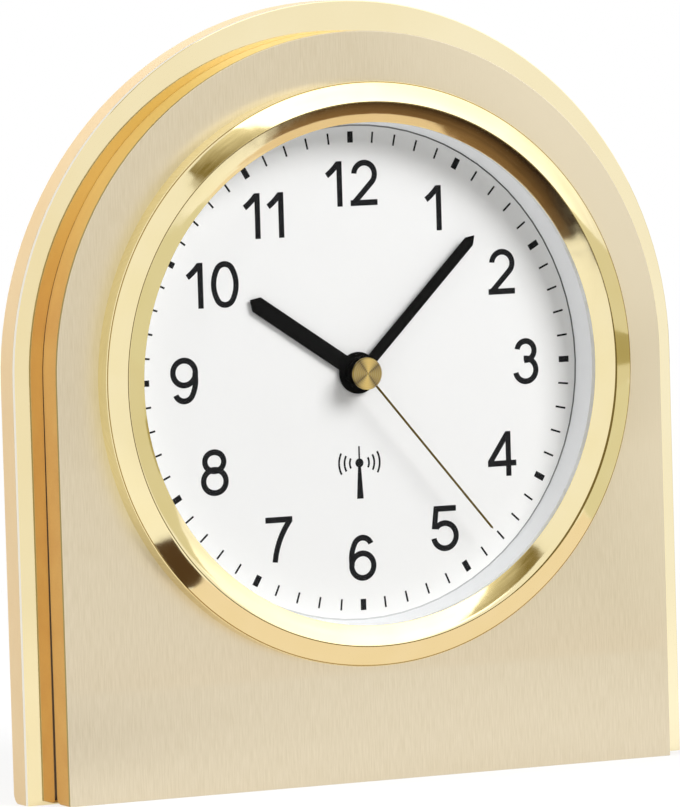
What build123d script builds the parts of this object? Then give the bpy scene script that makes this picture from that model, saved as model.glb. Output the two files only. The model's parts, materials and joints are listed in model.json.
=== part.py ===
from build123d import *
import math
import os

# Table clock: two stacked arch blocks, a round dial behind glass, a radio-controlled quartz movement
# and a foot behind. Millimetres. +Z is up, the dial faces -Y, and X runs to the right seen from the
# front. The origin is on the table, under the middle of the whole clock's box.

# Arch blocks and the metal sheets that face them
overall_height = 160.0
back_width = 150.0
arch_overhang = 6.2  # how far the back block shows past the front block, at the sides and the top
face_sheet_thickness = 0.8
front_block_thickness = 6.2
mirror_sheet_thickness = 1.2
back_block_thickness = 5.8
lower_edge_radius = 2.2  # rounding of each block's lower rear edge

# Bezel ring; rises are measured forwards from the brushed face
dial_drop = 1.2  # dial axis below the centre of the arch
face_margin = 9.0  # brushed face left between the bezel and the nearest edge of the front block
outer_slope_width = 4.1
inner_slope_width = 4.0
flank_rise = 3.8
ridge_rise = 5.4
inner_edge_rise = 3.6
flank_edge_radius = 0.5
ridge_radius = 0.45
bezel_lip = 0.3  # metal in front of the glass
glass_overlap = 1.6  # how far the lip covers the glass
skirt_inset = 2.9  # bezel skirt inside the flank
fit_gap = 0.1  # radial gap of a hand-pushed fit

# Glass, depth ring and dial
glass_thickness = 1.2
glass_gap = 0.2
depth_ring_slant = 0.7  # the ring narrows this much from the glass to the dial
dial_recess = 3.6  # dial surface behind the brushed face
dial_thickness = 0.6

# Hands; angles are clockwise from twelve, tip gaps are measured from the edge of the visible dial
hour_angle = 303.8
minute_angle = 45.0
second_angle = 140.0
hour_width = 3.4
minute_width = 2.3
second_width = 0.4
hour_tip_gap = 22.0
minute_tip_gap = 12.7
second_tip_gap = 7.1
hand_thickness = 0.4
second_thickness = 0.25
hour_point = 1.7
minute_point = 1.7
hour_hub_radius = 4.3
hour_boss_radius = 3.2
hour_boss_rise = 0.4
minute_hub_radius = 3.0
minute_boss_radius = 2.3
minute_boss_rise = 0.4
hour_lift = 0.45
hand_gap = 0.25
second_pipe_radius = 1.3
cap_radius = 3.3
cap_thickness = 0.7
cap_edge = 0.25
cap_to_glass = 0.5

# Coaxial arbors and running fits
running_gap = 0.05
press_gap = 0.02
arbor_radius = 0.6
minute_pipe_wall = 0.85
hour_tube_wall = 0.85
bush_wall = 1.05
bush_clearance = 0.4
bush_sink = 0.3  # bush end below the dial surface

# Gear trains
module = 0.35
pressure_angle = 25.0
addendum = 0.8
dedendum = 1.1
backlash = 0.1  # share of the tooth left out
cannon_pinion_teeth = 12
motion_wheel_teeth = 48
motion_pinion_teeth = 15
hour_wheel_teeth = 45
minute_wheel_teeth = 72
second_wheel_teeth = 72
drive_pinion_teeth = 12
transfer_wheel_teeth = 60
rotor_pinion_teeth = 12
wheel_thickness = 0.8
pinion_margin = 0.1
layer_gap = 0.5
motion_angle = 200.0
transfer_angle = 150.0  # of the minute train; the second train mirrors it
rotor_angle = 110.0
wheel_hub_radius = 2.2
collar_radius = 1.2  # between the pinion and the wheel of a transfer arbor
motion_stud_radius = 1.0
motion_stud_proud = 0.25

# Step motors
magnet_radius = 2.5
magnet_length = 1.4
magnet_gap = 0.4
stator_thickness = 0.8
stator_width = 24.0
stator_leg = 2.5
yoke_reach = 4.4  # yoke above and below the rotor axis
core_width = 2.0
coil_radius = 2.6
coil_length = 14.0
coil_gap = 0.7
coil_bore_gap = 0.1

# Movement case, cover, bridge and circuit board
case_wall = 1.5
case_corner = 3.0
bay_wall = 1.2
gear_zone_drop = 16.3  # case floor below the dial axis, inside
bay_end_wall = 5.0
post_radius = 1.5
boss_radius = 2.4
boss_merge = 0.6  # how far a screw boss runs into the case walls
pivot_depth = 0.8
bridge_thickness = 1.0
bridge_margin = 3.0
board_thickness = 1.2
board_gap = 0.5
board_side_inset = 3.5  # board edge inside the outer edge of the motors
switch_radius = 2.0
switch_height = 0.4
chip_size = 5.0
chip_height = 1.0
crystal_radius = 1.0
crystal_length = 6.0
cover_thickness = 1.5
ear_length = 10.0
ear_width = 12.0
ear_thickness = 2.0

# Push buttons in the cover
button_radius = 2.5
button_flange = 1.0
button_flange_thickness = 0.8
button_travel = 0.6
button_proud = 0.8
button_stop_gap = 0.2
button_spread = 20.0
button_rise = 4.0

# Antenna
rod_radius = 4.0
rod_length = 50.0
winding_thickness = 1.2
winding_length = 20.0
winding_gap = 2.25  # from the winding to the cradle beside it
rod_gap = 0.2
cradle_inset = 4.0

# Battery and its contacts
battery_radius = 7.25
battery_body_length = 49.5
nub_radius = 2.75
nub_length = 1.0
battery_gap = 0.25
contact_thickness = 0.4
contact_width = 8.0
contact_gap = 0.1
leaf_reach = 2.5
leaf_inset = 1.6

# Screws
wood_screw_radius = 1.5
wood_screw_head = 3.0
wood_screw_tip_gap = 1.2
small_screw_radius = 0.9
small_screw_head = 1.9
small_screw_length = 7.0
screw_head_height = 1.2
cross_slot_width = 0.6
cross_slot_depth = 0.6
corner_screw_inset = 13.0
upper_screw_angle = 45.0
cross_slot_share = 0.6  # of the head's radius

# Rear foot
foot_reach = 30.6
foot_width = 90.0
foot_leg_height = 15.0
foot_thickness = 1.6
foot_bend_radius = 3.0
foot_screw_spread = 60.0
foot_screw_rise = 9.0
pad_radius = 5.0
pad_thickness = 1.0
pad_inset = 6.0

# Depths in the clock, counted rearwards from the brushed face
front_block_front = face_sheet_thickness
mirror_front = front_block_front + front_block_thickness
back_block_front = mirror_front + mirror_sheet_thickness
back_block_rear = back_block_front + back_block_thickness
overall_depth = ridge_rise + back_block_rear + foot_reach
face_y = ridge_rise - overall_depth / 2

# Arch and dial sizes
back_half = back_width / 2
front_half = back_half - arch_overhang
front_height = overall_height - arch_overhang
dial_axis = overall_height - back_half - dial_drop
bezel_radius = min(front_half, dial_axis) - face_margin
ridge_ring_radius = bezel_radius - outer_slope_width
inner_edge_radius = ridge_ring_radius - inner_slope_width
skirt_radius = bezel_radius - skirt_inset
skirt_bore = inner_edge_radius + glass_overlap
window_radius = inner_edge_radius - depth_ring_slant - glass_gap / 2
glass_front = bezel_lip - inner_edge_rise
glass_rear = glass_front + glass_thickness
dial_rear = dial_recess + dial_thickness

# Radii of the coaxial arbors, from the middle outwards
minute_bore = arbor_radius + running_gap
minute_pipe_radius = minute_bore + minute_pipe_wall
hour_bore = minute_pipe_radius + running_gap
hour_tube_radius = hour_bore + hour_tube_wall
bush_bore = hour_tube_radius + running_gap
bush_radius = bush_bore + bush_wall
shaft_hole = bush_radius + bush_clearance
pivot_hole = arbor_radius + running_gap

# Depths of the hands
hour_hand_rear = dial_recess - hour_lift
hour_hand_front = hour_hand_rear - hand_thickness
hour_boss_front = hour_hand_front - hour_boss_rise
minute_hand_rear = hour_boss_front - hand_gap
minute_hand_front = minute_hand_rear - hand_thickness
minute_boss_front = minute_hand_front - minute_boss_rise
cap_front = glass_rear + cap_to_glass
cap_rear = cap_front + cap_thickness
second_hand_rear = cap_rear + second_thickness
second_pipe_rear = minute_boss_front - hand_gap

# Depths of the gear layers, each wheel with the pinion that drives it
case_front = back_block_rear
case_inner = case_front + case_wall
layer_step = wheel_thickness + layer_gap
hour_layer = case_inner + layer_gap
motion_layer = hour_layer + layer_step
minute_layer = motion_layer + layer_step
minute_transfer_layer = minute_layer + layer_step
second_layer = minute_transfer_layer + layer_step
second_transfer_layer = second_layer + layer_step
magnet_front = second_transfer_layer + layer_step
magnet_rear = magnet_front + magnet_length
stator_front = (magnet_front + magnet_rear - stator_thickness) / 2
stator_rear = stator_front + stator_thickness
coil_depth = (stator_front + stator_rear) / 2
bridge_front = magnet_rear + magnet_gap
bridge_rear = bridge_front + bridge_thickness
board_front = max(bridge_rear, coil_depth + coil_radius) + board_gap
board_rear = board_front + board_thickness
switch_rear = board_rear + switch_height
flange_front = switch_rear + button_travel + button_stop_gap
flange_rear = flange_front + button_flange_thickness
case_rear = flange_rear + button_stop_gap
cover_rear = case_rear + cover_thickness
pivot_front = case_inner - pivot_depth + running_gap

# Places of the gear axes, from the dial axis
motion_distance = module * (cannon_pinion_teeth + motion_wheel_teeth) / 2
hour_module = 2 * motion_distance / (motion_pinion_teeth + hour_wheel_teeth)
minute_transfer_distance = module * (minute_wheel_teeth + drive_pinion_teeth) / 2
second_transfer_distance = module * (second_wheel_teeth + drive_pinion_teeth) / 2
rotor_distance = module * (transfer_wheel_teeth + rotor_pinion_teeth) / 2


def polar(distance, angle):
    """Place at a distance and an angle from the X direction, seen from the front."""
    return (distance * math.cos(math.radians(angle)), distance * math.sin(math.radians(angle)))


def beyond(place, distance, angle):
    step = polar(distance, angle)
    return (place[0] + step[0], place[1] + step[1])


motion_place = polar(motion_distance, motion_angle)
minute_transfer_place = polar(minute_transfer_distance, transfer_angle)
minute_rotor_place = beyond(minute_transfer_place, rotor_distance, rotor_angle)
second_transfer_place = polar(second_transfer_distance, 180.0 - transfer_angle)
second_rotor_place = beyond(second_transfer_place, rotor_distance, 180.0 - rotor_angle)

# Outline of the movement, from the dial axis
core_rise = yoke_reach + coil_radius + coil_gap  # coil core above the rotor axis
rotor_rise = max(minute_rotor_place[1], second_rotor_place[1])
rotor_reach = max(-minute_rotor_place[0], second_rotor_place[0])
coil_top = rotor_rise + core_rise + coil_radius
upper_post_rise = coil_top + post_radius + coil_gap
board_top = upper_post_rise + post_radius
winding_radius = rod_radius + winding_thickness
rod_rise = board_top + rod_radius + rod_gap
rod_depth = case_inner + winding_radius + rod_gap
cradle_reach = rod_length / 2 - cradle_inset
winding_offset = cradle_reach - case_wall / 2 - winding_gap - winding_length / 2
inner_top = rod_rise + winding_radius + rod_gap
battery_length = battery_body_length + nub_length
bay_half = (battery_length + leaf_reach + 2 * contact_thickness + 2 * contact_gap) / 2
inner_half = max(bay_half + bay_end_wall - case_wall, rotor_reach + stator_width / 2 + post_radius)
case_half = inner_half + case_wall
case_top = inner_top + case_wall
bay_top = -gear_zone_drop - bay_wall
bay_bottom = bay_top - 2 * (battery_radius + battery_gap)
case_bottom = bay_bottom - case_wall
battery_rise = (bay_top + bay_bottom) / 2
battery_depth = case_inner + battery_gap + battery_radius
board_half = rotor_reach + stator_width / 2 - board_side_inset
board_post_reach = board_half - post_radius
board_bottom = -gear_zone_drop + 2 * post_radius
bridge_half = rotor_reach + bridge_margin
bridge_bottom = -gear_zone_drop + bridge_margin
bridge_top = rotor_rise + bridge_margin
ear_reach = case_half + ear_length / 2


def plane_at(depth, x=0.0, rise=0.0):
    """Plane across the dial axis, facing forwards, at a depth behind the brushed face."""
    origin = (x, face_y + depth, dial_axis + rise)
    return Plane(origin=origin, x_dir=(1, 0, 0), z_dir=(0, -1, 0))


def slab(outline, front, rear, place=(0.0, 0.0)):
    """Flat outline given a thickness from its rear depth to its front depth."""
    return extrude(plane_at(rear, place[0], place[1]) * outline, amount=rear - front)


def rod(radius, front, rear, place=(0.0, 0.0)):
    return slab(Circle(radius), front, rear, place)


def turned(points, place=(0.0, 0.0), roundings=()):
    """Ring or shaft turned about an axis through a place, from points of radius and depth."""
    profile = make_face(Polyline(*points, close=True))
    for point, radius in roundings:
        corner = profile.vertices().sort_by_distance((point[0], point[1], 0))[0]
        profile = fillet(corner, radius)
    origin = (place[0], face_y, dial_axis + place[1])
    return revolve(Plane(origin=origin) * profile, Axis(origin, (0, 1, 0)))


def block_between(low, high, front, rear):
    """Upright block between two corners, given as X and rise above the dial axis."""
    middle = ((low[0] + high[0]) / 2, (low[1] + high[1]) / 2)
    return slab(Rectangle(high[0] - low[0], high[1] - low[1]), front, rear, middle)


def from_base(outline, front, rear):
    """Slab whose outline is drawn upwards from the table."""
    return slab(outline, front, rear, (0.0, -dial_axis))


def arch(half, height):
    """Arch outline: straight sides, flat bottom and a half-round top."""
    spring = height - half
    edges = [
        Line((-half, 0), (half, 0)),
        Line((half, 0), (half, spring)),
        CenterArc((0, spring), half, 0, 180),
        Line((-half, spring), (-half, 0)),
    ]
    return make_face(edges)


def rounded_lower_rear(block):
    """Block with its lower rear edge rounded."""
    lower_edges = block.edges().filter_by(Axis.X).group_by(Axis.Z)[0]
    return fillet(lower_edges.sort_by(Axis.Y)[-1], lower_edge_radius)


def tooth_half_angle(radius, teeth, mod):
    """Half the angle that an involute tooth fills at a radius."""
    pressure = math.radians(pressure_angle)
    pitch_radius = teeth * mod / 2
    base_radius = pitch_radius * math.cos(pressure)
    at_pitch = math.pi / (2 * teeth) * (1 - backlash)
    local = math.acos(min(1.0, base_radius / radius))
    return at_pitch + math.tan(pressure) - pressure - math.tan(local) + local


def gear_outline(teeth, mod, phase):
    """Toothed outline with one tooth centred on the phase angle, in radians."""
    pitch_radius = teeth * mod / 2
    radii = (pitch_radius - dedendum * mod, pitch_radius, pitch_radius + addendum * mod)
    points = []
    for tooth in range(teeth):
        middle = phase + 2 * math.pi * tooth / teeth
        flank = [(radius, tooth_half_angle(radius, teeth, mod)) for radius in radii]
        rising = [(radius, middle - half) for radius, half in flank]
        falling = [(radius, middle + half) for radius, half in reversed(flank)]
        for radius, angle in rising + falling:
            points.append((radius * math.cos(angle), radius * math.sin(angle)))
    return make_face(Polyline(*points, close=True))


def meshing_phase(teeth, phase, direction, mate_teeth):
    """Phase of a mating gear that puts its gap on this gear's tooth, in a direction in degrees."""
    towards = math.radians(direction)
    share = (towards - phase) * teeth / (2 * math.pi)
    return towards + math.pi - (0.5 - share) * 2 * math.pi / mate_teeth


def wheel(teeth, mod, phase, layer, place):
    return slab(gear_outline(teeth, mod, phase), layer, layer + wheel_thickness, place)


def pinion(teeth, mod, phase, layer, place):
    outline = gear_outline(teeth, mod, phase)
    return slab(outline, layer - pinion_margin, layer + wheel_thickness + pinion_margin, place)


def cross_slots(place, head_rear, reach):
    """Cross recess in the rear of a screw head."""
    across = Rectangle(2 * reach, cross_slot_width) + Rectangle(cross_slot_width, 2 * reach)
    return slab(across, head_rear - cross_slot_depth, head_rear, place)


def pan_screw(place, seat, head_radius, shank_radius, length):
    """Screw driven forwards, with its head on a seat at a depth."""
    points = [
        (0, seat - length),
        (shank_radius, seat - length + shank_radius),
        (shank_radius, seat),
        (head_radius, seat),
        (head_radius, seat + screw_head_height),
        (0, seat + screw_head_height),
    ]
    edge = ((head_radius, seat + screw_head_height), screw_head_height / 2)
    screw = turned(points, place, [edge])
    return screw - cross_slots(place, seat + screw_head_height, head_radius * cross_slot_share)


def countersunk(place, seat, head_radius, shank_radius, length, gap=0.0):
    """Countersunk screw, or with a gap the hole that it goes in."""
    head_depth = head_radius - shank_radius
    points = [
        (0, seat - length - gap),
        (shank_radius + gap, seat - length + shank_radius - gap),
        (shank_radius + gap, seat - head_depth),
        (head_radius + gap, seat),
        (0, seat),
    ]
    return turned(points, place)


# Places of the screws, as X and rise above the dial axis
screw_ring = (skirt_radius + front_half) / 2
upper_block_screws = [
    polar(screw_ring, angle) for angle in (upper_screw_angle, 180.0 - upper_screw_angle)
]
lower_reach = front_half - corner_screw_inset
lower_block_screws = [(side * lower_reach, corner_screw_inset - dial_axis) for side in (-1, 1)]
block_screw_places = upper_block_screws + lower_block_screws
block_screw_length = back_block_rear - front_block_front - wood_screw_tip_gap
movement_screw_places = [(side * ear_reach, 0.0) for side in (-1, 1)]
short_screw_bite = back_block_thickness - wood_screw_tip_gap
foot_rise = pad_thickness - dial_axis
foot_screw_places = [(side * foot_screw_spread / 2, foot_rise + foot_screw_rise) for side in (-1, 1)]
boss_inset = boss_radius - boss_merge
boss_places = [
    (side * (inner_half - boss_inset), rise)
    for side in (-1, 1)
    for rise in (boss_inset - gear_zone_drop, inner_top - boss_inset)
]
button_places = [(-button_spread / 2, button_rise), (button_spread / 2, button_rise)]


def cut_screw_holes(block, places, seat, depth):
    """Block with a blind hole for each screw, open at its seat."""
    for place in places:
        block -= rod(wood_screw_radius + press_gap, seat - depth, seat, place)
    return block


# Arch blocks and their sheets
def make_face_sheet():
    sheet = from_base(arch(front_half, front_height), 0, front_block_front)
    return sheet - rod(skirt_radius + fit_gap, 0, front_block_front)


def make_front_block():
    block = from_base(arch(front_half, front_height), front_block_front, mirror_front)
    block = rounded_lower_rear(block)
    block -= rod(skirt_radius + fit_gap, front_block_front, dial_rear)
    block -= rod(shaft_hole, dial_rear, mirror_front)
    bite = block_screw_length - (back_block_rear - mirror_front)
    return cut_screw_holes(block, block_screw_places, mirror_front, bite + press_gap)


def make_mirror_sheet():
    sheet = from_base(arch(back_half, overall_height), mirror_front, back_block_front)
    for place in block_screw_places:
        sheet -= rod(wood_screw_radius + press_gap, mirror_front, back_block_front, place)
    return sheet - rod(shaft_hole, mirror_front, back_block_front)


def make_back_block():
    block = from_base(arch(back_half, overall_height), back_block_front, back_block_rear)
    block = rounded_lower_rear(block)
    block -= rod(shaft_hole, back_block_front, back_block_rear)
    for place in block_screw_places:
        hole_length = back_block_thickness + wood_screw_radius + press_gap
        block -= countersunk(
            place, back_block_rear, wood_screw_head, wood_screw_radius, hole_length, press_gap
        )
    blind_places = movement_screw_places + foot_screw_places
    return cut_screw_holes(block, blind_places, back_block_rear, short_screw_bite + press_gap)


def make_block_screws():
    screws = Part()
    for place in block_screw_places:
        screw = countersunk(
            place, back_block_rear, wood_screw_head, wood_screw_radius, block_screw_length
        )
        screws += screw - cross_slots(place, back_block_rear, wood_screw_head * cross_slot_share)
    return screws


# Bezel, glass, depth ring and dial
def make_bezel():
    flank = (bezel_radius, -flank_rise)
    ridge = (ridge_ring_radius, -ridge_rise)
    points = [
        (bezel_radius, 0),
        flank,
        ridge,
        (inner_edge_radius, -inner_edge_rise),
        (inner_edge_radius, glass_front),
        (skirt_bore, glass_front),
        (skirt_bore, dial_recess),
        (skirt_radius, dial_recess),
        (skirt_radius, 0),
    ]
    return turned(points, roundings=[(flank, flank_edge_radius), (ridge, ridge_radius)])


def make_glass():
    return rod(skirt_bore - glass_gap, glass_front, glass_rear)


def make_depth_ring():
    points = [
        (window_radius, dial_recess),
        (window_radius + depth_ring_slant, glass_rear),
        (skirt_bore - glass_gap, glass_rear),
        (skirt_bore - glass_gap, dial_recess),
    ]
    return turned(points)


def make_dial():
    disc = rod(skirt_radius, dial_recess, dial_rear)
    return disc - rod(bush_radius + fit_gap, dial_recess, dial_rear)


# Hands
def baton(width, length, point):
    """Parallel hand with a pointed tip, standing at twelve."""
    half = width / 2
    return make_face(
        Polyline(
            (-half, 0),
            (half, 0),
            (half, length - point),
            (0, length),
            (-half, length - point),
            close=True,
        )
    )


def hand_blank(outline, hub_radius, angle, front, rear):
    return slab(Rot(0, 0, -angle) * outline, front, rear) + rod(hub_radius, front, rear)


def make_hour_hand():
    outline = baton(hour_width, window_radius - hour_tip_gap, hour_point)
    hand = hand_blank(outline, hour_hub_radius, hour_angle, hour_hand_front, hour_hand_rear)
    hand += rod(hour_boss_radius, hour_boss_front, hour_hand_front)
    return hand - rod(hour_tube_radius + press_gap, hour_boss_front, hour_hand_rear)


def make_minute_hand():
    outline = baton(minute_width, window_radius - minute_tip_gap, minute_point)
    hand = hand_blank(
        outline, minute_hub_radius, minute_angle, minute_hand_front, minute_hand_rear
    )
    hand += rod(minute_boss_radius, minute_boss_front, minute_hand_front)
    return hand - rod(minute_pipe_radius + press_gap, minute_boss_front, minute_hand_rear)


def make_second_hand():
    length = window_radius - second_tip_gap
    outline = baton(second_width, length, second_width)
    hub_radius = second_pipe_radius + second_width
    hand = hand_blank(outline, hub_radius, second_angle, cap_rear, second_hand_rear)
    hand += rod(second_pipe_radius, second_hand_rear, second_pipe_rear)
    return hand - rod(arbor_radius + press_gap, cap_rear, second_pipe_rear)


def make_second_cap():
    points = [
        (0, cap_front),
        (cap_radius - cap_edge, cap_front),
        (cap_radius, cap_front + cap_edge),
        (cap_radius, cap_rear),
        (0, cap_rear),
    ]
    return turned(points)


# Motion work and gear trains
def make_gear_phases():
    """Phase of every gear, so that the teeth mesh at rest."""
    motion = meshing_phase(cannon_pinion_teeth, 0.0, motion_angle, motion_wheel_teeth)
    hour = meshing_phase(motion_pinion_teeth, 0.0, motion_angle + 180.0, hour_wheel_teeth)
    minute = meshing_phase(minute_wheel_teeth, 0.0, transfer_angle, drive_pinion_teeth)
    mirrored_transfer = 180.0 - transfer_angle
    second = meshing_phase(second_wheel_teeth, 0.0, mirrored_transfer, drive_pinion_teeth)
    minute_rotor = meshing_phase(transfer_wheel_teeth, 0.0, rotor_angle, rotor_pinion_teeth)
    mirrored_rotor = 180.0 - rotor_angle
    second_rotor = meshing_phase(transfer_wheel_teeth, 0.0, mirrored_rotor, rotor_pinion_teeth)
    return {
        "motion": motion,
        "hour": hour,
        "minute_transfer": minute,
        "second_transfer": second,
        "minute_rotor": minute_rotor,
        "second_rotor": second_rotor,
    }


phases = make_gear_phases()


def make_hour_wheel():
    gear = wheel(hour_wheel_teeth, hour_module, phases["hour"], hour_layer, (0.0, 0.0))
    gear += rod(hour_tube_radius, hour_boss_front, hour_layer + wheel_thickness)
    return gear - rod(hour_bore, hour_boss_front, hour_layer + wheel_thickness)


def make_motion_wheel():
    gear = wheel(motion_wheel_teeth, module, phases["motion"], motion_layer, motion_place)
    small = gear_outline(motion_pinion_teeth, hour_module, 0.0)
    gear += slab(small, hour_layer - pinion_margin, motion_layer, motion_place)
    front = hour_layer - pinion_margin
    rear = motion_layer + wheel_thickness
    return gear - rod(motion_stud_radius + running_gap, front, rear, motion_place)


def make_minute_wheel():
    gear = wheel(minute_wheel_teeth, module, 0.0, minute_layer, (0.0, 0.0))
    small = gear_outline(cannon_pinion_teeth, module, 0.0)
    gear += slab(small, motion_layer - pinion_margin, minute_layer)
    gear += rod(minute_pipe_radius, minute_boss_front, motion_layer)
    return gear - rod(minute_bore, minute_boss_front, minute_layer + wheel_thickness)


def make_second_wheel():
    gear = wheel(second_wheel_teeth, module, 0.0, second_layer, (0.0, 0.0))
    rear = second_layer + wheel_thickness
    gear += rod(wheel_hub_radius, rear, rear + layer_gap)
    return gear + rod(arbor_radius, cap_rear, bridge_rear)


def make_transfer_wheel(place, pinion_phase, pinion_layer, wheel_layer):
    """Wheel and pinion on one arbor, between the case and the bridge."""
    gear = pinion(drive_pinion_teeth, module, pinion_phase, pinion_layer, place)
    gear += wheel(transfer_wheel_teeth, module, 0.0, wheel_layer, place)
    joining_front = pinion_layer + wheel_thickness
    gear += rod(collar_radius, joining_front, wheel_layer, place)
    return gear + rod(arbor_radius, pivot_front, bridge_rear, place)


def make_rotor(place, phase, layer):
    """Round magnet and pinion on one arbor."""
    turning = pinion(rotor_pinion_teeth, module, phase, layer, place)
    turning += rod(magnet_radius, magnet_front, magnet_rear, place)
    return turning + rod(arbor_radius, pivot_front, bridge_rear, place)


# Step motors
def make_stator(place):
    """Flat yoke round the rotor, with a bar above it that carries the coil."""
    half = stator_width / 2
    low = (place[0] - half, place[1] - yoke_reach)
    high = (place[0] + half, place[1] + core_rise + core_width / 2)
    yoke = block_between(low, high, stator_front, stator_rear)
    window_low = (low[0] + stator_leg, place[1] + yoke_reach)
    window_high = (high[0] - stator_leg, place[1] + core_rise - core_width / 2)
    yoke -= block_between(window_low, window_high, stator_front, stator_rear)
    return yoke - rod(magnet_radius + magnet_gap, stator_front, stator_rear, place)


def make_coil(place):
    """Wound sleeve on the stator's bar, lying along X."""
    bore = math.hypot(core_width, stator_thickness) / 2 + coil_bore_gap
    origin = (place[0] - coil_length / 2, face_y + coil_depth, dial_axis + place[1] + core_rise)
    across = Plane(origin=origin, x_dir=(0, 1, 0), z_dir=(1, 0, 0))
    return extrude(across * (Circle(coil_radius) - Circle(bore)), amount=coil_length)


def stator_post_places(place):
    reach = (stator_width - stator_leg) / 2
    return [(place[0] + side * reach, place[1] + core_rise) for side in (-1, 1)]


# Movement case and what is fixed in it
bridge_post_places = [
    (-bridge_half + post_radius, bridge_bottom + post_radius),
    (bridge_half - post_radius, bridge_bottom + post_radius),
    (0.0, bridge_top - post_radius),
]
board_post_places = [
    (side * board_post_reach, rise)
    for side in (-1, 1)
    for rise in (board_bottom + post_radius, upper_post_rise)
]
arbor_places = [
    minute_transfer_place,
    minute_rotor_place,
    second_transfer_place,
    second_rotor_place,
]


def case_outline():
    middle = (case_top + case_bottom) / 2
    return Pos(0, middle) * RectangleRounded(2 * case_half, case_top - case_bottom, case_corner)


def make_movement_case():
    case = slab(case_outline(), case_front, case_rear)
    low = (-inner_half, -gear_zone_drop)
    case -= block_between(low, (inner_half, inner_top), case_inner, case_rear)
    case -= block_between((-bay_half, bay_bottom), (bay_half, bay_top), case_inner, case_rear)
    for side in (-1, 1):
        inner_end = side * (case_half - case_wall)
        outer_end = side * (case_half + ear_length)
        low_x, high_x = sorted((inner_end, outer_end))
        half = ear_width / 2
        ear_rear = case_front + ear_thickness
        case += block_between((low_x, -half), (high_x, half), case_front, ear_rear) - block_between(
            (-inner_half, -half), (inner_half, half), case_inner, ear_rear
        )
        case -= rod(wood_screw_radius + fit_gap, case_front, ear_rear, (side * ear_reach, 0.0))
    for place in bridge_post_places:
        case += rod(post_radius, case_inner, bridge_front, place)
    for place in board_post_places:
        case += rod(post_radius, case_inner, board_front, place)
    for rotor_place in (minute_rotor_place, second_rotor_place):
        for place in stator_post_places(rotor_place):
            case += rod(core_width / 2, case_inner, stator_front, place)
    for place in boss_places:
        case += rod(boss_radius, case_inner, case_rear, place)
        case -= rod(small_screw_radius + press_gap, case_rear - small_screw_length, case_rear, place)
    for side in (-1, 1):
        middle = side * cradle_reach
        half = case_wall / 2
        low = (middle - half, rod_rise - rod_radius)
        high = (middle + half, inner_top)
        case += block_between(low, high, case_inner, rod_depth)
    case -= antenna_cylinder(rod_radius + running_gap, rod_length, 0.0)
    stud_rear = motion_layer + wheel_thickness + motion_stud_proud
    case += rod(motion_stud_radius, case_inner, stud_rear, motion_place)
    case += rod(bush_radius, dial_recess + bush_sink, case_front)
    case -= rod(bush_bore, dial_recess + bush_sink, case_inner)
    for place in arbor_places:
        case -= rod(pivot_hole, case_inner - pivot_depth, case_inner, place)
    return case


def make_movement_cover():
    cover = slab(case_outline(), case_rear, cover_rear)
    cover -= block_between((-case_half, case_bottom), (case_half, bay_top), case_rear, cover_rear)
    for place in button_places:
        cover -= rod(button_radius + fit_gap, case_rear, cover_rear, place)
    for place in boss_places:
        cover -= rod(small_screw_radius + fit_gap, case_rear, cover_rear, place)
    return cover


def make_cover_screws():
    screws = Part()
    length = small_screw_length + cover_thickness - small_screw_radius
    for place in boss_places:
        screws += pan_screw(place, cover_rear, small_screw_head, small_screw_radius, length)
    return screws


def make_movement_screws():
    screws = Part()
    seat = case_front + ear_thickness
    length = ear_thickness + short_screw_bite
    for place in movement_screw_places:
        screws += pan_screw(place, seat, wood_screw_head, wood_screw_radius, length)
    return screws


def make_gear_bridge():
    low = (-bridge_half, bridge_bottom)
    bridge = block_between(low, (bridge_half, bridge_top), bridge_front, bridge_rear)
    for place in arbor_places + [(0.0, 0.0)]:
        bridge -= rod(pivot_hole, bridge_front, bridge_rear, place)
    return bridge


def make_circuit_board():
    low = (-board_half, board_bottom)
    return block_between(low, (board_half, board_top), board_front, board_rear)


chip_rise = bridge_top + chip_size / 2 + board_gap


def make_controller_chip():
    half = chip_size / 2
    low = (-half, chip_rise - half)
    return block_between(low, (half, chip_rise + half), board_front - chip_height, board_front)


def make_quartz_crystal():
    rise = chip_rise + chip_size / 2 + board_gap + crystal_radius
    origin = (-crystal_length / 2, face_y + board_front - crystal_radius, dial_axis + rise)
    across = Plane(origin=origin, x_dir=(0, 1, 0), z_dir=(1, 0, 0))
    return extrude(across * Circle(crystal_radius), amount=crystal_length)


def make_button_switches():
    switches = Part()
    for place in button_places:
        switches += rod(switch_radius, board_rear, switch_rear, place)
    return switches


def make_button(place):
    stem = rod(button_radius, flange_front, cover_rear + button_proud, place)
    return stem + rod(button_radius + button_flange, flange_front, flange_rear, place)


# Antenna
def antenna_cylinder(radius, length, offset):
    origin = (offset - length / 2, face_y + rod_depth, dial_axis + rod_rise)
    across = Plane(origin=origin, x_dir=(0, 1, 0), z_dir=(1, 0, 0))
    return extrude(across * Circle(radius), amount=length)


def make_antenna_coil():
    outer = antenna_cylinder(winding_radius, winding_length, winding_offset)
    return outer - antenna_cylinder(rod_radius + press_gap, winding_length, winding_offset)


# Battery and its contacts
battery_minus_end = -bay_half + contact_thickness + leaf_reach
battery_shoulder = battery_minus_end + battery_body_length


def along_bay(radius, start, length):
    origin = (start, face_y + battery_depth, dial_axis + battery_rise)
    across = Plane(origin=origin, x_dir=(0, 1, 0), z_dir=(1, 0, 0))
    return extrude(across * Circle(radius), amount=length)


def make_battery():
    body = along_bay(battery_radius, battery_minus_end, battery_body_length)
    return body + along_bay(nub_radius, battery_shoulder, nub_length)


def bay_strip(points):
    """Bent strip of contact metal from its section in X and depth."""
    section = make_face(Polyline(*points, close=True))
    low = dial_axis + battery_rise - contact_width / 2
    return extrude(Plane(origin=(0, face_y, low)) * section, amount=contact_width)


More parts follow.
